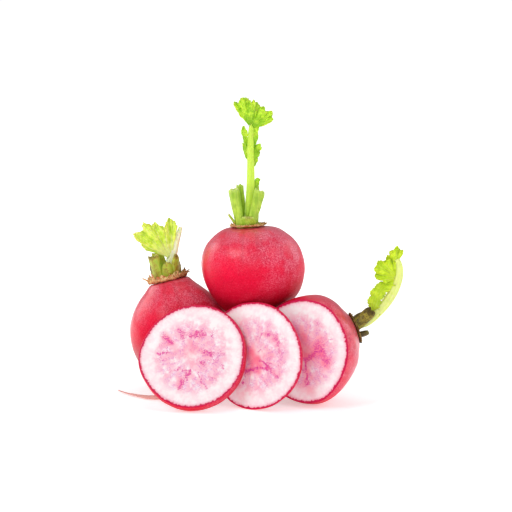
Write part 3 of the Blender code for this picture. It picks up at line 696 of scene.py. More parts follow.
SKIN = skin_paint()
FLESH = flesh_paint()
STALK = stalk_paint()
SCAR = scar_paint()
SHOOT = leaf_paint("young_shoot", young=tint(206, 240, 66), ripe=tint(150, 200, 34),
                   pale=tint(200, 230, 84), base=tint(116, 172, 26))
RUFFLE = leaf_paint("ruffled_leaf", young=tint(240, 255, 120), ripe=tint(200, 232, 56),
                    pale=tint(246, 248, 214), base=tint(232, 242, 150))
ARCH = leaf_paint("arching_leaf", young=tint(214, 240, 54), ripe=tint(184, 216, 28),
                  pale=tint(232, 240, 148), base=tint(206, 226, 62))


# Recipes


def relief_recipe():
    """Moves each point of a skin in or out: low swellings, small dents, and fine grain."""
    recipe = Recipe("skin_relief", {"Swelling": 0.3 * MM, "Dents": 0.08 * MM, "Seed": 0.0})
    place = recipe.add("GeometryNodeInputPosition")
    shifted = recipe.add("ShaderNodeVectorMath", {"operation": "ADD"}, {0: place, 1: recipe.ask("Seed")})
    broad = recipe.grain(shifted, 70.0, 1.0) - 0.62
    dents = recipe.grain(shifted, 420.0, 2.0, 0.6) - 0.55
    out = broad * recipe.ask("Swelling") * 2.0 + dents * recipe.ask("Dents") * 2.0
    offset = recipe.scaled(recipe.add("GeometryNodeInputNormal"), out)
    return recipe.finish(recipe.moved(recipe.ask("Geometry"), Offset=offset), SKIN)


def rod_recipe(name, material):
    """A rod with ribs along it, on a curve that has a radius at each point."""
    recipe = Recipe(name, {"Ribs": 6.0, "Rib Height": 0.06, "Sides": 30})
    circle = recipe.add("GeometryNodeCurvePrimitiveCircle", None,
                        {"Resolution": recipe.ask("Sides"), "Radius": 1.0})
    turn = recipe.add("GeometryNodeSplineParameter", out="Factor")
    wave = (turn * recipe.ask("Ribs") * math.tau).math("COSINE")
    height = 1.0 + wave * recipe.ask("Rib Height")
    ribbed = recipe.scaled(recipe.add("GeometryNodeInputPosition"), height)
    rod = recipe.add("GeometryNodeCurveToMesh", None,
                     {"Curve": recipe.ask("Geometry"), "Profile Curve": recipe.moved(circle, Position=ribbed),
                      "Fill Caps": True, "Scale": recipe.add("GeometryNodeInputRadius")})
    return recipe.finish(rod, material)


def scar_recipe():
    """Ragged scales that stand round a ring, each turned, leant and sized at random.

    Rise makes the scales at local -X taller.
    """
    recipe = Recipe("leaf_scars", {"Count": 60, "Lean": 0.5, "Spread": 0.5 * MM, "Rise": 0.0, "Seed": 1})
    ring = recipe.add("GeometryNodeResampleCurve", None,
                      {"Curve": recipe.ask("Geometry"), "Count": recipe.ask("Count")})
    tangent = recipe.add("GeometryNodeInputTangent")
    seed, spread = recipe.ask("Seed"), recipe.ask("Spread")

    def random(low, high, shift):
        return recipe.add("FunctionNodeRandomValue", {"data_type": "FLOAT"},
                          {2: low, 3: high, "Seed": seed + shift}, 1)

    place = recipe.add("GeometryNodeInputPosition")
    ring = recipe.moved(ring, Position=recipe.scaled(place, 1.0 + random(-0.10, 0.12, 3)))
    # One scale: a narrow sheet that curls inwards and is bowed across
    sheet = recipe.add("GeometryNodeMeshGrid", None,
                       {"Size X": 1.0, "Size Y": 1.0, "Vertices X": 4, "Vertices Y": 6})
    x, y, _ = recipe.split(recipe.add("GeometryNodeInputPosition"))
    up = y + 0.5
    curl = up * up * -0.5
    bowed = recipe.built(x * (1.0 - up * up * 0.8), curl + x * x * 0.5, up + curl * 0.25)
    sheet = recipe.moved(sheet, Position=bowed)
    thick = recipe.add("GeometryNodeExtrudeMesh", {"mode": "FACES"},
                       {"Mesh": sheet, "Offset Scale": 0.14, "Individual": False})
    facing = recipe.add("FunctionNodeAlignRotationToVector", {"axis": "X", "pivot_axis": "Z"},
                        {"Vector": tangent})
    leant = recipe.built(random(-0.5, 0.6, 5) + recipe.ask("Lean"), random(-0.5, 0.5, 7),
                         random(-0.6, 0.6, 9))
    turned = recipe.add("FunctionNodeRotateRotation", {"rotation_space": "LOCAL"},
                        {0: facing, 1: recipe.add("FunctionNodeEulerToRotation", None, {0: leant})})
    wide, tall = random(0.5, 1.6, 11) * spread * 1.6, random(0.4, 2.2, 13) * spread * 1.8
    west = (recipe.split(place)[0] * (-1 / (6.0 * MM))).math("MAXIMUM", 0.0)
    size = recipe.built(wide, spread * 1.6, tall * (west * recipe.ask("Rise") + 1.0))
    scales = recipe.add("GeometryNodeInstanceOnPoints", None,
                        {"Points": ring, "Instance": thick, "Rotation": turned, "Scale": size})
    return recipe.finish(scales, SCAR)


RELIEF = relief_recipe()
STALK_ROD = rod_recipe("stalk_rod", SHOOT)
TAIL_ROD = rod_recipe("tail_rod", SKIN)
SCALES = scar_recipe()


def curve_through(points, radii=None, closed=False):
    curve = bpy.data.curves.new("path", "CURVE")
    curve.dimensions = "3D"
    spline = curve.splines.new("POLY")
    spline.points.add(len(points) - 1)
    spline.use_cyclic_u = closed
    for index, (knot, point) in enumerate(zip(spline.points, points)):
        knot.co = (*point, 1)
        knot.radius = 1.0 if radii is None else radii[index]
    return curve


def rod(recipe, crown, rows, **sizes):
    """A rod through places from a crown, with radii in mm."""
    rows = through(rows, 8)
    points = [beside(crown, row[:3]) for row in rows]
    return tidy(recipe.make(curve_through(points, rows[:, 3] * MM), **sizes))


# Pieces


def keep(name, mesh, node, materials=()):
    """A finished piece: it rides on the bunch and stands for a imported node."""
    for material in materials:
        mesh.materials.append(material)
    mesh.shade_smooth()
    mesh.set_sharp_from_angle(angle=math.radians(50))
    obj = placed(name, mesh)
    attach(obj, "root")
    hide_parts(node)


def swollen(profile, waves, matrix, shoulder):
    """The plain turned form of a root, closed at both ends."""
    rows = through(profile, 5)
    rows[0, 1] = rows[-1, 1] = 0.01
    depth, radius, wander = (rows[:, column][:, None] for column in range(3))
    angle = turns(ROOT_SIDES)
    share = sum(height * np.cos(count * angle + start - 0.02 * depth) for count, height, start in waves)
    radius = np.maximum(radius, 0.01) * (1 + share)
    if shoulder is not None:
        middle, tall, turn, wide, height = shoulder
        across = (angle - math.radians(turn) + math.pi) % math.tau - math.pi
        full = height * np.exp(-((depth - middle) / tall) ** 2 - (across / math.radians(wide)) ** 2)
        radius = radius + full * (rows[:, 1][:, None] > 1)
    points = np.stack((radius * np.cos(angle) + wander, radius * np.sin(angle), -depth + 0 * angle), 2)
    return mesh_from(set_in(matrix, points.reshape(-1, 3)), closed_faces(len(rows), ROOT_SIDES))


def skin_of(profile, waves, matrix, tail, seed, shoulder=None):
    """A root's skin: the turned form and its tail run together, with swellings, dents and a flat foot."""
    body = swollen(profile, waves, matrix, shoulder)
    if tail is not None:
        body = together([body, rod(TAIL_ROD, *tail, ribs=3.0, rib_height=0.03, sides=24)])
    mesh = with_modifier(body, "REMESH", mode="VOXEL", voxel_size=SKIN_GRAIN * MM, adaptivity=0.0)
    relaxed(mesh, 6)
    near = np.zeros(len(mesh.vertices))
    if tail is not None:
        crown, rows = tail
        line = np.array([beside(crown, row[:3]) for row in through(rows, 6)])
        points = places(mesh)
        away = np.min([np.linalg.norm(points - place, axis=1) for place in line], 0) / MM
        outside = swollen_distance(profile, matrix, points)
        near = smooth(outside, 0.6, 3.5) * (away < 3.5)
        # The joint of root and tail is drawn into one smooth run
        joint = (1 - smooth(np.abs(outside), 0.5, 1.5)) * (1 - smooth(away, 2.5, 5.5))
        relaxed(mesh, 40, joint * 0.6)
    mesh = RELIEF.make(mesh, seed=seed)
    points = places(mesh)
    points[:, 2] = np.maximum(points[:, 2], 0.0)
    put_places(mesh, points)
    write(mesh, "tail", near)
    write(mesh, "from_crown", seen_from(matrix, points))
    return mesh


def swollen_distance(profile, matrix, points):
    """How far points lie outside the turned form, roughly, in mm."""
    local = seen_from(matrix, points)
    rows = through(profile, 4)
    radius = np.interp(-local[:, 2], rows[:, 0], np.maximum(rows[:, 1], 0))
    wander = np.interp(-local[:, 2], rows[:, 0], rows[:, 2])
    beyond = np.maximum(-local[:, 2] - rows[-1, 0], 0)
    out = np.hypot(local[:, 0] - wander, local[:, 1]) - radius
    return np.hypot(out, beyond) * np.where(out > 0, 1, -1)


def stained(points, strokes, seed):
    """How strongly strokes colour each point of a face, with their edges warped."""
    flat = np.column_stack((points, np.zeros(len(points))))
    warp = np.column_stack((rolled(flat, 0.6, seed), rolled(flat, 0.6, seed + 3))) * 0.9
    place = points + warp
    total = np.zeros(len(points))
    for x0, y0, x1, y1, width, strength in strokes:
        start, run = np.array((x0, y0)), np.array((x1 - x0, y1 - y0))
        share = np.clip(((place - start) @ run) / (run @ run), 0, 1)
        away = np.linalg.norm(place - start - share[:, None] * run, axis=1)
        total = np.maximum(total, strength * np.exp(-((away / width) ** 2)))
    return total


def write_face(mesh, local, rim, strokes, glows, seed):
    """Keeps what the flesh's finish reads: the place on the face, the way in from its rim, and its stains."""
    write(mesh, "on_face", np.column_stack((local[:, :2], rim)))
    write(mesh, "stain", stained(local[:, :2], strokes, seed))
    write(mesh, "glow", stained(local[:, :2], glows, seed + 5))
    write(mesh, "tail", np.zeros(len(local)))


# Rings of a face, as shares of its radius: closer together at the rim
FACE_SHARES = np.concatenate((np.linspace(0.012, 0.92, 62), np.linspace(0.93, 1.0, 13)))


def face_relief(local, seed):
    """The low relief of a cut face, which is sunk a little below its rim."""
    return rolled(local, 0.35, seed + 1) * 0.07 + rolled(local, 1.1, seed + 2) * 0.03 - 0.06


def slice_mesh(sizes, strokes, glows, seed):
    """A slice: a front and a back face with a little relief, and a band of skin between them."""
    spans = len(sizes["edge"])
    edge = through([(value, 0) for value in sizes["edge"] + sizes["edge"][:1]], SLICE_SIDES // spans)[:-1, 0]
    angle = turns(SLICE_SIDES)
    edge = edge + rolled(hoop(9, 0, angle), 0.5, seed) * 0.12
    thickness, flare = sizes["thickness"], sizes["flare"]
    rings, rims, kinds = [], [], []

    def ring(reach, height, rim, kind):
        rings.append(hoop(reach, height, angle))
        rims.append(rim + 0 * angle)
        kinds.append(kind)

    for share in FACE_SHARES[:-1]:
        ring((edge - ROUNDING) * share, 0.0, edge - (edge - ROUNDING) * share, 1)
    for turn in np.linspace(0, math.pi / 2, 5):
        out = ROUNDING * (math.sin(turn) - 1)
        ring(edge + out, ROUNDING * (math.cos(turn) - 1), -out, 1 if turn < 0.6 else 0)
    for share in np.linspace(0.12, 0.88, 12):
        bulge = 0.12 * math.sin(math.pi * share)
        ring(edge + flare * share + bulge, -ROUNDING - (thickness - 2 * ROUNDING) * share, 0.0, 0)
    for turn in np.linspace(math.pi / 2, 0, 5):
        out = ROUNDING * (math.sin(turn) - 1)
        ring(edge + flare + out, -thickness - ROUNDING * (math.cos(turn) - 1), -out, 1 if turn < 0.6 else 0)
    for share in FACE_SHARES[:-1][::-1]:
        ring((edge + flare - ROUNDING) * share, -thickness, edge - (edge - ROUNDING) * share, 1)

    local = np.vstack(rings)
    on_face = (np.abs(local[:, 2]) < 1e-6) | (np.abs(local[:, 2] + thickness) < 1e-6)
    local[:, 2] += on_face * face_relief(local, seed) * np.where(local[:, 2] > -thickness / 2, 1, -1)
    points = set_in(frame_at(sizes["face"], sizes["normal"], RIGHT), local)
    points[:, 2] -= points[:, 2].min()
    mesh = mesh_from(points, [face[::-1] for face in closed_faces(len(rings), SLICE_SIDES)])
    mesh.materials.append(SKIN)
    mesh.materials.append(FLESH)
    bands = np.repeat([int(a and b) for a, b in zip(kinds, kinds[1:])], SLICE_SIDES)
    mesh.polygons.foreach_set("material_index", np.concatenate((bands, (1, 1))).astype(np.int32))
    write_face(mesh, local, np.concatenate(rims), strokes, glows, seed)
    write(mesh, "from_crown", local - (0, 0, 17.0))
    close(opened(mesh), mesh)
    return mesh


def loop_in_order(bm):
    """The points of the mesh's open edge, in order."""
    edges = [edge for edge in bm.edges if edge.is_boundary]
    start = edges[0].verts[0]
    order, here, last = [start], start, None
    while True:
        edge = next(e for e in here.link_edges if e.is_boundary and e is not last)
        here, last = edge.other_vert(here), edge
        if here is start:
            return order
        order.append(here)


def from_middle(local, middle):
    """Each place's turn about a middle, and its distance from it."""
    x, y = local[:, 0] - middle[0], local[:, 1] - middle[1]
    return np.arctan2(y, x), np.hypot(x, y)


def cut_cheek(mesh, strokes, glows, seed):
    """Takes the cheek off a root, and closes it with a face of flesh."""
    matrix = frame_at(CUT_FACE, CUT_NORMAL, RIGHT)
    bm = opened(mesh)
    everything = bm.verts[:] + bm.edges[:] + bm.faces[:]
    bmesh.ops.bisect_plane(bm, geom=everything, plane_co=matrix.translation, plane_no=Vector(CUT_NORMAL),
                           clear_outer=True, dist=1e-6)
    bmesh.ops.remove_doubles(bm, verts=[v for v in bm.verts if v.is_boundary], dist=0.06 * MM)
    order = loop_in_order(bm)
    rim = seen_from(matrix, [vertex.co for vertex in order])
    middle = rim.mean(0)
    middle[2] = 0.0
    rings = [order]
    for share in FACE_SHARES[:-1][::-1]:
        local = middle + (rim - middle) * share
        local[:, 2] = face_relief(local, seed) * (share < 0.99)
        rings.append([bm.verts.new(point) for point in set_in(matrix, local)])
    count = len(order)
    for outer, inner in zip(rings, rings[1:]):
        for s in range(count):
            face = bm.faces.new((outer[s], outer[(s + 1) % count], inner[(s + 1) % count], inner[s]))
            face.material_index = 1
    bm.faces.new(rings[-1]).material_index = 1
    close(bm, mesh)
    # How far each point is inside the rim, along its own ray from the middle
    local = seen_from(matrix, places(mesh))
    turn, reach = from_middle(local, middle)
    rim_turn, rim_reach = from_middle(rim, middle)
    sort = np.argsort(rim_turn)
    edge = np.interp(turn, rim_turn[sort], rim_reach[sort], period=math.tau)
    write_face(mesh, local, np.maximum(edge - reach, 0), strokes, glows, seed)
    return mesh


def write_stalk(mesh, *values):
    """Keeps what the stalks' finish reads, each as a number for all points or one for each."""
    for name, value in zip(STALK_VALUES, values):
        write(mesh, name, np.broadcast_to(value, len(mesh.vertices)))


def stub(row, matrix, seed):
    """A cut leaf stalk: narrow at its foot, channelled inside, with a sunken, ragged cut top."""
    turn, foot, lean, sideways, length, width, thickness, dry, taper = row
    sides, rows, buried = 56, 22, 1.0
    angle = turns(sides)
    ribs = 0.5 + 0.5 * np.cos(5 * angle - math.pi / 2)
    side, out = np.cos(angle), np.sin(angle)
    squarish = 1 / (np.abs(side) ** 2.3 + np.abs(out) ** 2.3) ** (1 / 2.3)
    hollow = np.where(out < 0, 0.42 * (1 - side**2) * np.abs(out), 0)
    side, out = side * squarish, out * squarish
    top_wave = rolled(hoop(1.4, 0, angle), 1.0, seed)
    rings, along, cut, rib = [], [], [], []
    reach = length + buried
    for share in np.linspace(0, 1, rows):
        ribbed = 1 + 0.06 * ribs * (1 - 0.6 * share)
        closing = 1 - 0.10 * share**24 - taper * share**3
        swell = (0.76 + 0.34 * share**0.8) * ribbed * closing
        height = share * reach - buried + top_wave * share**5 * min(0.9, 0.13 * length)
        rings.append(np.column_stack((side * width / 2 * swell, (out + hollow) * thickness / 2 * swell,
                                      height)))
        along.append(share + 0 * angle)
        cut.append(0 * angle + smooth(np.array(share), 0.92, 1.0) * 0.6)
        rib.append(ribs)
    top = rings[-1]
    middle = top.mean(0)
    for share in (0.94, 0.82, 0.62, 0.4, 0.2, 0.06):
        inner = middle + (top - middle) * share
        inner[:, 2] -= 0.35 * (1 - share) ** 0.5 - rolled(inner, 1.4, seed + 5) * 0.25
        rings.append(inner)
        along.append(1 + 0 * angle)
        cut.append(1 + 0 * angle)
        rib.append(0 * angle)
    local = np.vstack(rings)
    bend = (local[:, 2] / reach) ** 2 * rolled(np.zeros((1, 3)), 1.0, seed + 9)[0] * 1.2
    local[:, :2] += np.column_stack((rolled(local, 0.3, seed + 7), rolled(local, 0.3, seed + 8))) * 0.22
    local[:, 0] += bend
    shape = (Matrix.Rotation(math.radians(turn - 90), 4, "Z") @ Matrix.Translation((0, foot * MM, 0.5 * MM))
             @ Matrix.Rotation(math.radians(-lean), 4, "X") @ Matrix.Rotation(math.radians(sideways), 4, "Y"))
    mesh = mesh_from(set_in(matrix @ shape, local), closed_faces(len(rings), sides))
    share = np.concatenate(along)
    edge_dry = smooth(share, 0.8, 1.0) * 0.25 * min(1, 0.3 + dry)
    write_stalk(mesh, share, np.clip(dry + edge_dry, 0, 1), np.concatenate(cut), np.concatenate(rib))
    return mesh


def heart(radius, matrix):
    """The low green cushion that the stalks grow from."""
    sides = 64
    profile = [(radius, 0.3), (radius, 0.7), (radius * 0.9, 1.0), (radius * 0.7, 1.15), (radius * 0.35, 1.2),
               (0.02, 1.2)]
    local = np.vstack([hoop(reach, height, turns(sides)) for reach, height in profile])
    local += (rolled(local, 0.8, 4.0) * 0.15)[:, None]
    mesh = mesh_from(set_in(matrix, local), closed_faces(len(profile), sides))
    write_stalk(mesh, 0.0, 0.45, 0.0, 0.0)
    return mesh


def stub_ring(rows, collar, matrix, seed):
    meshes = [heart(collar[0] - 0.3, matrix)]
    meshes += [stub(row, matrix, seed + 2.3 * index) for index, row in enumerate(rows)]
    mesh = together(meshes)
    write(mesh, "from_crown", seen_from(matrix, places(mesh)))
    return mesh


def scar_ring(collar, matrix, count, spread, seed, old=0.0):
    """The ring of leaf scars: a lumpy bed with ragged scales round it."""
    inner, outer, height = collar
    middle, half = (inner + outer) / 2, (outer - inner) / 2
    sides, around = 200, 14
    angle = turns(sides)
    local = np.vstack([hoop(middle + half * math.cos(turn), height * (0.36 + 0.34 * math.sin(turn)), angle)
                       for turn in turns(around)])
    ragged = (rolled(local, 0.7, seed) * 0.7 + rolled(local, 2.0, seed + 1) * 0.45
              + rolled(local, 4.5, seed + 2) * 0.25)
    out = local - np.column_stack((local[:, :2] / np.hypot(local[:, 0], local[:, 1])[:, None] * middle,
                                   np.full(len(local), height * 0.36)))
    local = local + out * ragged[:, None]
    local[:, 2] = np.maximum(local[:, 2], 0.05)
    faces = round_faces(around, sides)
    last = (around - 1) * sides
    faces += [(last + s, last + (s + 1) % sides, (s + 1) % sides, s) for s in range(sides)]
    bed = mesh_from(set_in(matrix, local), faces)
    bed.materials.append(SCAR)
    ring = curve_through(hoop(middle, height * 0.3, turns(60)) * MM, closed=True)
    scales = tidy(SCALES.make(ring, count=count, spread=spread * MM, lean=SCALE_LEAN,
                              rise=SCALE_RISE * height, seed=seed))
    scales.transform(matrix)
    mesh = together([tidy(bed), scales])
    local = seen_from(matrix, places(mesh))
    write(mesh, "foot", 1 - smooth(local[:, 2], 0.0, height * 0.4))
    write(mesh, "old", np.clip(old + smooth(local[:, 0], 3.5, 6.5) * 0.45, 0, 1))
    return mesh


def blade(rule, across, up, seed):
    """A leaf blade: a grid bent by rule(a, b), with a across it from -1 to 1 and b up it from 0 to 1."""
    b, a = (grid.ravel() for grid in np.meshgrid(np.linspace(0, 1, up + 1), np.linspace(-1, 1, across + 1),
                                                 indexing="ij"))
    flat, fold = rule(a, b)
    savoy = (0.5 * rolled(flat, 0.42, seed) + 0.34 * rolled(flat, 1.0, seed + 1)
             + 0.14 * rolled(flat, 2.1, seed + 2)) * (0.30 + 0.70 * b)
    drift = np.column_stack((rolled(flat, 0.45, seed + 2) * 0.25, savoy, rolled(flat, 0.45, seed + 4) * 0.25))
    row = across + 1
    faces = [(r * row + s, r * row + s + 1, (r + 1) * row + s + 1, (r + 1) * row + s)
             for r in range(up) for s in range(across)]
    mesh = mesh_from((flat + drift) * MM, faces)
    write(mesh, "blade", np.column_stack((a, b, np.ones(len(a)))))
    write(mesh, "fold", fold + savoy)
    return with_modifier(mesh, "SOLIDIFY", thickness=BLADE_THICKNESS * MM, offset=0.0)


def humps(share, count, phase):
    """Rounded lobes from 0 to 1 with sharp notches between them."""
    return np.abs(np.sin(math.pi * count * share + phase)) ** 0.6


def fan(crown, foot, outline, tip=0.0, side=0.0, folds=3.0, height=1.0, phase=0.0, lobes=4.0, frill=0.6):
    """The rule of a fan-shaped blade that opens from its foot, with pleats, a lobed margin and a frill.

    The outline is its reach at angles from the vertical, in degrees to the right. tip and side are the slopes
    that carry the blade away from the viewer going up and going right.
    """
    origin = np.array(beside(crown, foot)) / MM
    edge = through(outline, 12)
    shares = np.linspace(-1, 1, len(edge))

    def rule(a, b):
        angle = np.radians(np.interp(a, shares, edge[:, 0]))
        reach = np.interp(a, shares, edge[:, 1])
        margin = b**3
        lobe = humps(a / 2, lobes, phase)
        lobed = 0.13 * (lobe - 0.8) + 0.04 * (humps(a / 2, 3.4 * lobes, 2 * phase) - 0.7)
        far = (0.10 + 0.90 * b) * reach * (1 + 0.05 * b * np.cos(9 * a + phase) + margin * lobed)
        x, z = far * np.sin(angle), far * np.cos(angle)
        fold = 0.7 * height * b**1.4 * (np.sin(math.pi * folds * a + phase) + 0.35 * np.sin(11 * a - phase))
        ruffle = 0.6 * frill * b**3 * np.sin(math.pi * 2.7 * folds * a + 2 * phase + 1.5 * b)
        crimp = 0.4 * frill * b**5 * np.sin(math.pi * 6.3 * folds * a + 3 * phase + 4 * b)
        curl = frill * margin * lobe
        out = fold + ruffle + crimp - 0.8 * curl
        place = origin + np.column_stack((x + 0.3 * crimp, tip * z + side * x + out,
                                          z - 0.25 * curl + 0.3 * ruffle))
        return place, (fold + ruffle) / (height + frill)

    return rule


def ribbon(crown, path, side, ruffle, phase=0.0, lobes=2.0):
    """The rule of a narrow blade along a path of places from the crown with half widths."""
    spine = through(path, 8)
    shares = np.linspace(0, 1, len(spine))
    side = np.array(Vector(side).normalized())
    origin = np.array(beside(crown, (0, 0, 0))) / MM

    def rule(a, b):
        point = np.column_stack([np.interp(b, shares, spine[:, axis]) for axis in range(3)])
        lobed = (1 + 0.5 * np.abs(a) * (humps(b, lobes, phase) - 0.6)
                 + 0.2 * np.abs(a) * humps(b, 3 * lobes, phase))
        width = np.interp(b, shares, spine[:, 3]) * lobed
        out = ruffle * (np.sin(8 * b + 1.6 * a + phase) + 0.9 * a * a * np.sin(6 * lobes * b + 2 * a))
        place = origin + point + side * (width * a)[:, None] + np.outer(out, (0, 1, 0))
        return place, out / (2 * ruffle)

    return rule


def leaf(crown, stalk_rows, blades, material, stem_ribs=5.0):
    """A young leaf: its stalk and its blades, as one piece."""
    stem = rod(STALK_ROD, crown, stalk_rows, ribs=stem_ribs, rib_height=0.07, sides=36)
    write(stem, "blade", np.zeros((len(stem.vertices), 3)))
    write(stem, "fold", np.zeros(len(stem.vertices)))
    mesh = together([stem] + blades)
    mesh.materials.clear()
    mesh.materials.append(material)
    mesh.polygons.foreach_set("material_index", np.zeros(len(mesh.polygons), np.int32))
    return mesh


def top_leaf():
    """The tall shoot: three blades at its head, and small lobes up its stalk."""
    here = TOP_CROWN
    head = [
        fan(here, (1.0, 0.0, 35.2),
            [(-40, 6.4), (-33, 10.3), (-22, 11.0), (-12, 10.7), (-2, 10.2), (7, 9.4), (15, 7.4)],
            tip=-0.12, folds=2.5, height=0.8),
        fan(here, (1.2, -0.1, 35.0),
            [(16, 6.6), (28, 8.6), (40, 8.3), (50, 9.2), (60, 9.2), (69, 7.2), (77, 4.6)],
            tip=-0.2, side=-0.4, folds=2.0, height=0.8, phase=1.0),
        fan(here, (1.1, 0.3, 35.0),
            [(-22, 6.4), (-8, 8.4), (4, 8.8), (18, 9.0), (30, 8.8), (42, 7.0), (52, 5.0)],
            tip=0.42, side=0.1, folds=2.5, height=0.8, phase=2.0),
    ]
    # Small lobes: a path of places with half widths, and the way that each spreads
    small = [
        ([(0.3, 0.0, 27.6, 0.5), (-0.6, -0.2, 30.6, 0.8), (-1.2, -0.3, 33.4, 0.9), (-1.6, -0.3, 35.8, 0.4)],
         (-1, -0.25, 0.1)),
        ([(0.4, 0.2, 23.4, 0.5), (-0.4, 0.4, 25.6, 0.7), (-1.0, 0.6, 28.0, 0.8), (-1.5, 0.6, 29.4, 0.4)],
         (-1, 0.3, 0.2)),
        ([(1.8, 0.0, 28.6, 0.7), (2.5, -0.3, 31.2, 1.0), (2.8, -0.4, 33.6, 0.9), (3.1, -0.4, 35.4, 0.6)],
         (1, -0.3, 0.1)),
        ([(1.7, 0.0, 23.6, 0.8), (2.7, -0.4, 25.8, 1.3), (3.4, -0.5, 27.8, 1.2), (3.9, -0.5, 29.4, 0.6)],
         (1, -0.35, -0.1)),
        ([(1.8, 0.2, 21.8, 0.6), (2.6, 0.3, 23.2, 0.7), (3.1, 0.3, 24.4, 0.5)], (1, 0.2, -0.3)),
        ([(1.7, 0.0, 13.4, 0.6), (2.9, 0.1, 15.4, 0.9), (3.9, 0.1, 17.2, 0.5)], (1, 0.1, -0.4)),
        ([(1.0, 0.9, 25.0, 0.8), (1.0, 1.8, 28.0, 1.3), (1.1, 2.6, 31.4, 0.9)], (0.9, 0.5, 0)),
    ]
    blades = [blade(rule, 140, 36, 2.0 + index) for index, rule in enumerate(head)]
    blades += [blade(ribbon(here, path, side, 0.25, index), 16, 40, 7.0 + index)
               for index, (path, side) in enumerate(small)]
    return leaf(here, TOP_STALK, blades, SHOOT)


def left_leaf():
    """The ruffled leaf: a broad fan in front and a smaller one behind it."""
    here = LEFT_CROWN
    front = fan(here, (1.1, 0.3, 7.8),
                [(-68, 9.6), (-60, 13.4), (-53, 15.6), (-44, 16.0), (-36, 16.6), (-29, 14.4), (-22, 14.4),
                 (-13, 12.6), (-5, 13.8), (3, 14.6), (11, 13.0)],
                tip=-0.05, side=0.12, folds=3.5, height=1.1, lobes=5, frill=0.8)
    behind = fan(here, (1.1, 0.6, 7.6),
                 [(-62, 8.0), (-48, 11.6), (-34, 12.2), (-20, 12.6), (-6, 11.6), (6, 11.6), (14, 8.6)],
                 tip=0.38, side=0.05, folds=2.6, height=1.0, phase=1.5, lobes=4, frill=0.8)
    return leaf(here, LEFT_STALK, [blade(front, 190, 44, 3.0), blade(behind, 140, 34, 4.0)], RUFFLE)


def cut_leaf():
    """The arching leaf: blades at its bend and its head, one behind, and a ruffled fringe below."""
    here = CUT_CROWN
    rules = [
        fan(here, (14.9, 3.2, 17.6),
            [(-118, 4.4), (-98, 5.6), (-82, 7.6), (-68, 8.7), (-56, 8.4), (-43, 8.6), (-30, 7.4), (-16, 6.8),
             (-2, 6.0)], tip=0.0, side=0.14, folds=3.0, height=0.8, lobes=5),
        fan(here, (14.8, 3.3, 22.4),
            [(-36, 3.8), (-27, 5.2), (-13, 5.6), (2, 6.5), (14, 5.8), (24, 5.5), (33, 4.0)],
            tip=-0.05, folds=2.0, height=0.6, phase=0.8, lobes=3, frill=0.5),
        fan(here, (14.6, 3.6, 18.4), [(-84, 5.0), (-64, 6.6), (-42, 6.4), (-20, 6.8), (0, 6.2)],
            tip=0.3, side=-0.3, folds=2.0, height=0.7, phase=2.0),
    ]
    low = [(8.0, 2.1, 4.8, 1.3), (7.0, 1.7, 7.6, 1.9), (7.6, 1.6, 10.6, 2.0), (9.2, 1.9, 13.4, 2.0),
           (11.8, 2.5, 15.4, 1.9), (14.2, 3.0, 16.6, 1.4)]
    blades = [blade(rule, 130, 34, 5.0 + index) for index, rule in enumerate(rules)]
    blades.append(blade(ribbon(here, low, (-0.93, 0.1, 0.36), 0.35, lobes=5.0), 22, 110, 9.0))
    return leaf(here, CUT_STALK, blades, ARCH, stem_ribs=7.0)


# The bunch

top = frame_at(TOP_CROWN, TOP_UP, RIGHT)
left = frame_at(LEFT_CROWN, LEFT_UP, RIGHT)
lying = frame_at(CUT_CROWN, CUT_UP, DOWN)

keep("top_radish_skin", skin_of(TOP_PROFILE, TOP_WAVES, top, (TOP_CROWN, TOP_TAIL), 0.11),
     "top_radish_root")
keep("top_radish_scars", scar_ring(TOP_COLLAR, top, 64, 0.38, 3), "top_radish_collar")
keep("top_radish_stubs", stub_ring(TOP_STUBS, TOP_COLLAR, top, 1.0),
     "top_radish_cut_stalks", [STALK])
keep("top_radish_shoot", top_leaf(), "top_radish_leaf")

keep("left_radish_skin",
     skin_of(LEFT_PROFILE, LEFT_WAVES, left, (LEFT_CROWN, LEFT_TAIL), 0.43, LEFT_SHOULDER),
     "left_radish_root")
keep("left_radish_scars", scar_ring(LEFT_COLLAR, left, 96, 0.72, 8),
     "left_radish_collar")
keep("left_radish_stubs", stub_ring(LEFT_STUBS, LEFT_COLLAR, left, 20.0),
     "left_radish_cut_stalks", [STALK])
keep("left_radish_ruffle", left_leaf(), "left_radish_leaf")

cheek = skin_of(CUT_PROFILE, CUT_WAVES, lying, None, 0.77)
cheek.materials.append(FLESH)
keep("cut_radish_skin_and_flesh", cut_cheek(cheek, CUT_STAIN, CUT_GLOW, 6.0), "cut_radish_root")
keep("cut_radish_scars", scar_ring(CUT_COLLAR, lying, 30, 0.24, 12, old=0.85),
     "cut_radish_collar")
keep("cut_radish_stubs", stub_ring(CUT_STUBS, CUT_COLLAR, lying, 40.0),
     "cut_radish_cut_stalks", [STALK])
keep("cut_radish_arch", cut_leaf(), "cut_radish_leaf")

keep("front_slice_flesh", slice_mesh(FRONT_SLICE, FRONT_STAIN, FRONT_GLOW, 11.0),
     "front_slice")
keep("middle_slice_flesh", slice_mesh(MIDDLE_SLICE, MIDDLE_STAIN, MIDDLE_GLOW, 14.0),
     "middle_slice")


# Stage, light and camera

# Each softbox: its name, its place and the side of its square in metres, and its power in watts
SOFTBOXES = [
    ("left_softbox", (-0.42, -0.42, 0.55), 0.30, 1.8),
    ("right_softbox", (0.50, -0.30, 0.50), 0.40, 0.8),
    ("left_back_softbox", (-0.55, 0.30, 0.30), 0.40, 1.2),
    ("right_back_softbox", (0.55, 0.32, 0.28), 0.40, 0.9),
    ("top_softbox", (0.0, 0.25, 0.75), 0.5, 0.9),
    ("front_softbox", (-0.08, -0.62, 0.22), 0.5, 0.7),
]


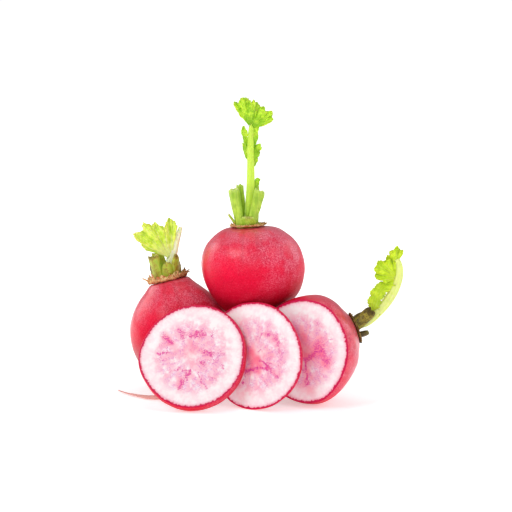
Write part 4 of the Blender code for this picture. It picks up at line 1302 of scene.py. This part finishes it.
def plain_floor():
    """A white table top, a hair below the bunch, that glows: dimly near the bunch, so that contact shadows
    still show, and fully further out, where it fades into the white room.
    """
    paint = Paint("white_table", Roughness=0.55, Specular_IOR_Level=0.3, Emission_Strength=1.0)
    place = paint.add("ShaderNodeTexCoord", out="Object")
    haze = paint.grain(place, 3.0, 2.0)
    x, y, _ = paint.split(place)
    far = (x * x + y * y).math("SQRT").between(0.10, 0.40)
    paint.feed("Base Color", paint.mix(haze, (0.93, 0.93, 0.93, 1), (0.95, 0.95, 0.95, 1)))
    # Painted light: the table glows, less near the bunch and fully white further out
    paint.feed("Emission Color", paint.mix(far, (0.45, 0.43, 0.43, 1), (1, 1, 1, 1)))
    reach = 4
    mesh = mesh_from([(-reach, -reach, 0), (reach, -reach, 0), (reach, reach, 0), (-reach, reach, 0)],
                     [(0, 1, 2, 3)])
    mesh.materials.append(paint.material)
    floor = placed("floor", mesh)
    floor.location.z = -0.02 * MM


def softbox(name, place, size, power):
    """A square soft lamp that faces the bunch."""
    light = bpy.data.lights.new(name, "AREA")
    light.shape, light.size, light.energy = "SQUARE", size, power
    obj = placed(name, light)
    obj.location = place
    aim = Vector((0, 0, 0.04)) - Vector(place)
    obj.rotation_euler = aim.to_track_quat("-Z", "Y").to_euler()


def white_room():
    """An even white room: it lights softly, and is pure white to the camera."""
    lit, seen = 0.32, 1.05
    world = bpy.data.worlds.new("white_room")
    world.use_nodes = True
    room = Tree(world.node_tree)
    glow = world.node_tree.nodes["Background"]
    glow.inputs["Color"].default_value = (1, 1, 1, 1)
    to_camera = room.add("ShaderNodeLightPath", out="Is Camera Ray")
    room.fill(glow.inputs["Strength"], lit + to_camera * (seen - lit))
    bpy.context.scene.world = world


def camera_at_photo():
    """The photograph's view: straight on, a little from above."""
    rise, distance = math.radians(8), 0.502
    aim = in_layout((0, 0, 51.2))
    camera = bpy.data.cameras.new("camera")
    camera.lens, camera.sensor_width = 100, 36
    obj = placed("camera", camera)
    obj.location = aim + distance * Vector((0, -math.cos(rise), math.sin(rise)))
    obj.rotation_euler = (aim - obj.location).to_track_quat("-Z", "Y").to_euler()
    bpy.context.scene.camera = obj


plain_floor()
white_room()
for lamp in SOFTBOXES:
    softbox(*lamp)
camera_at_photo()
bpy.context.scene.view_settings.view_transform = "Standard"
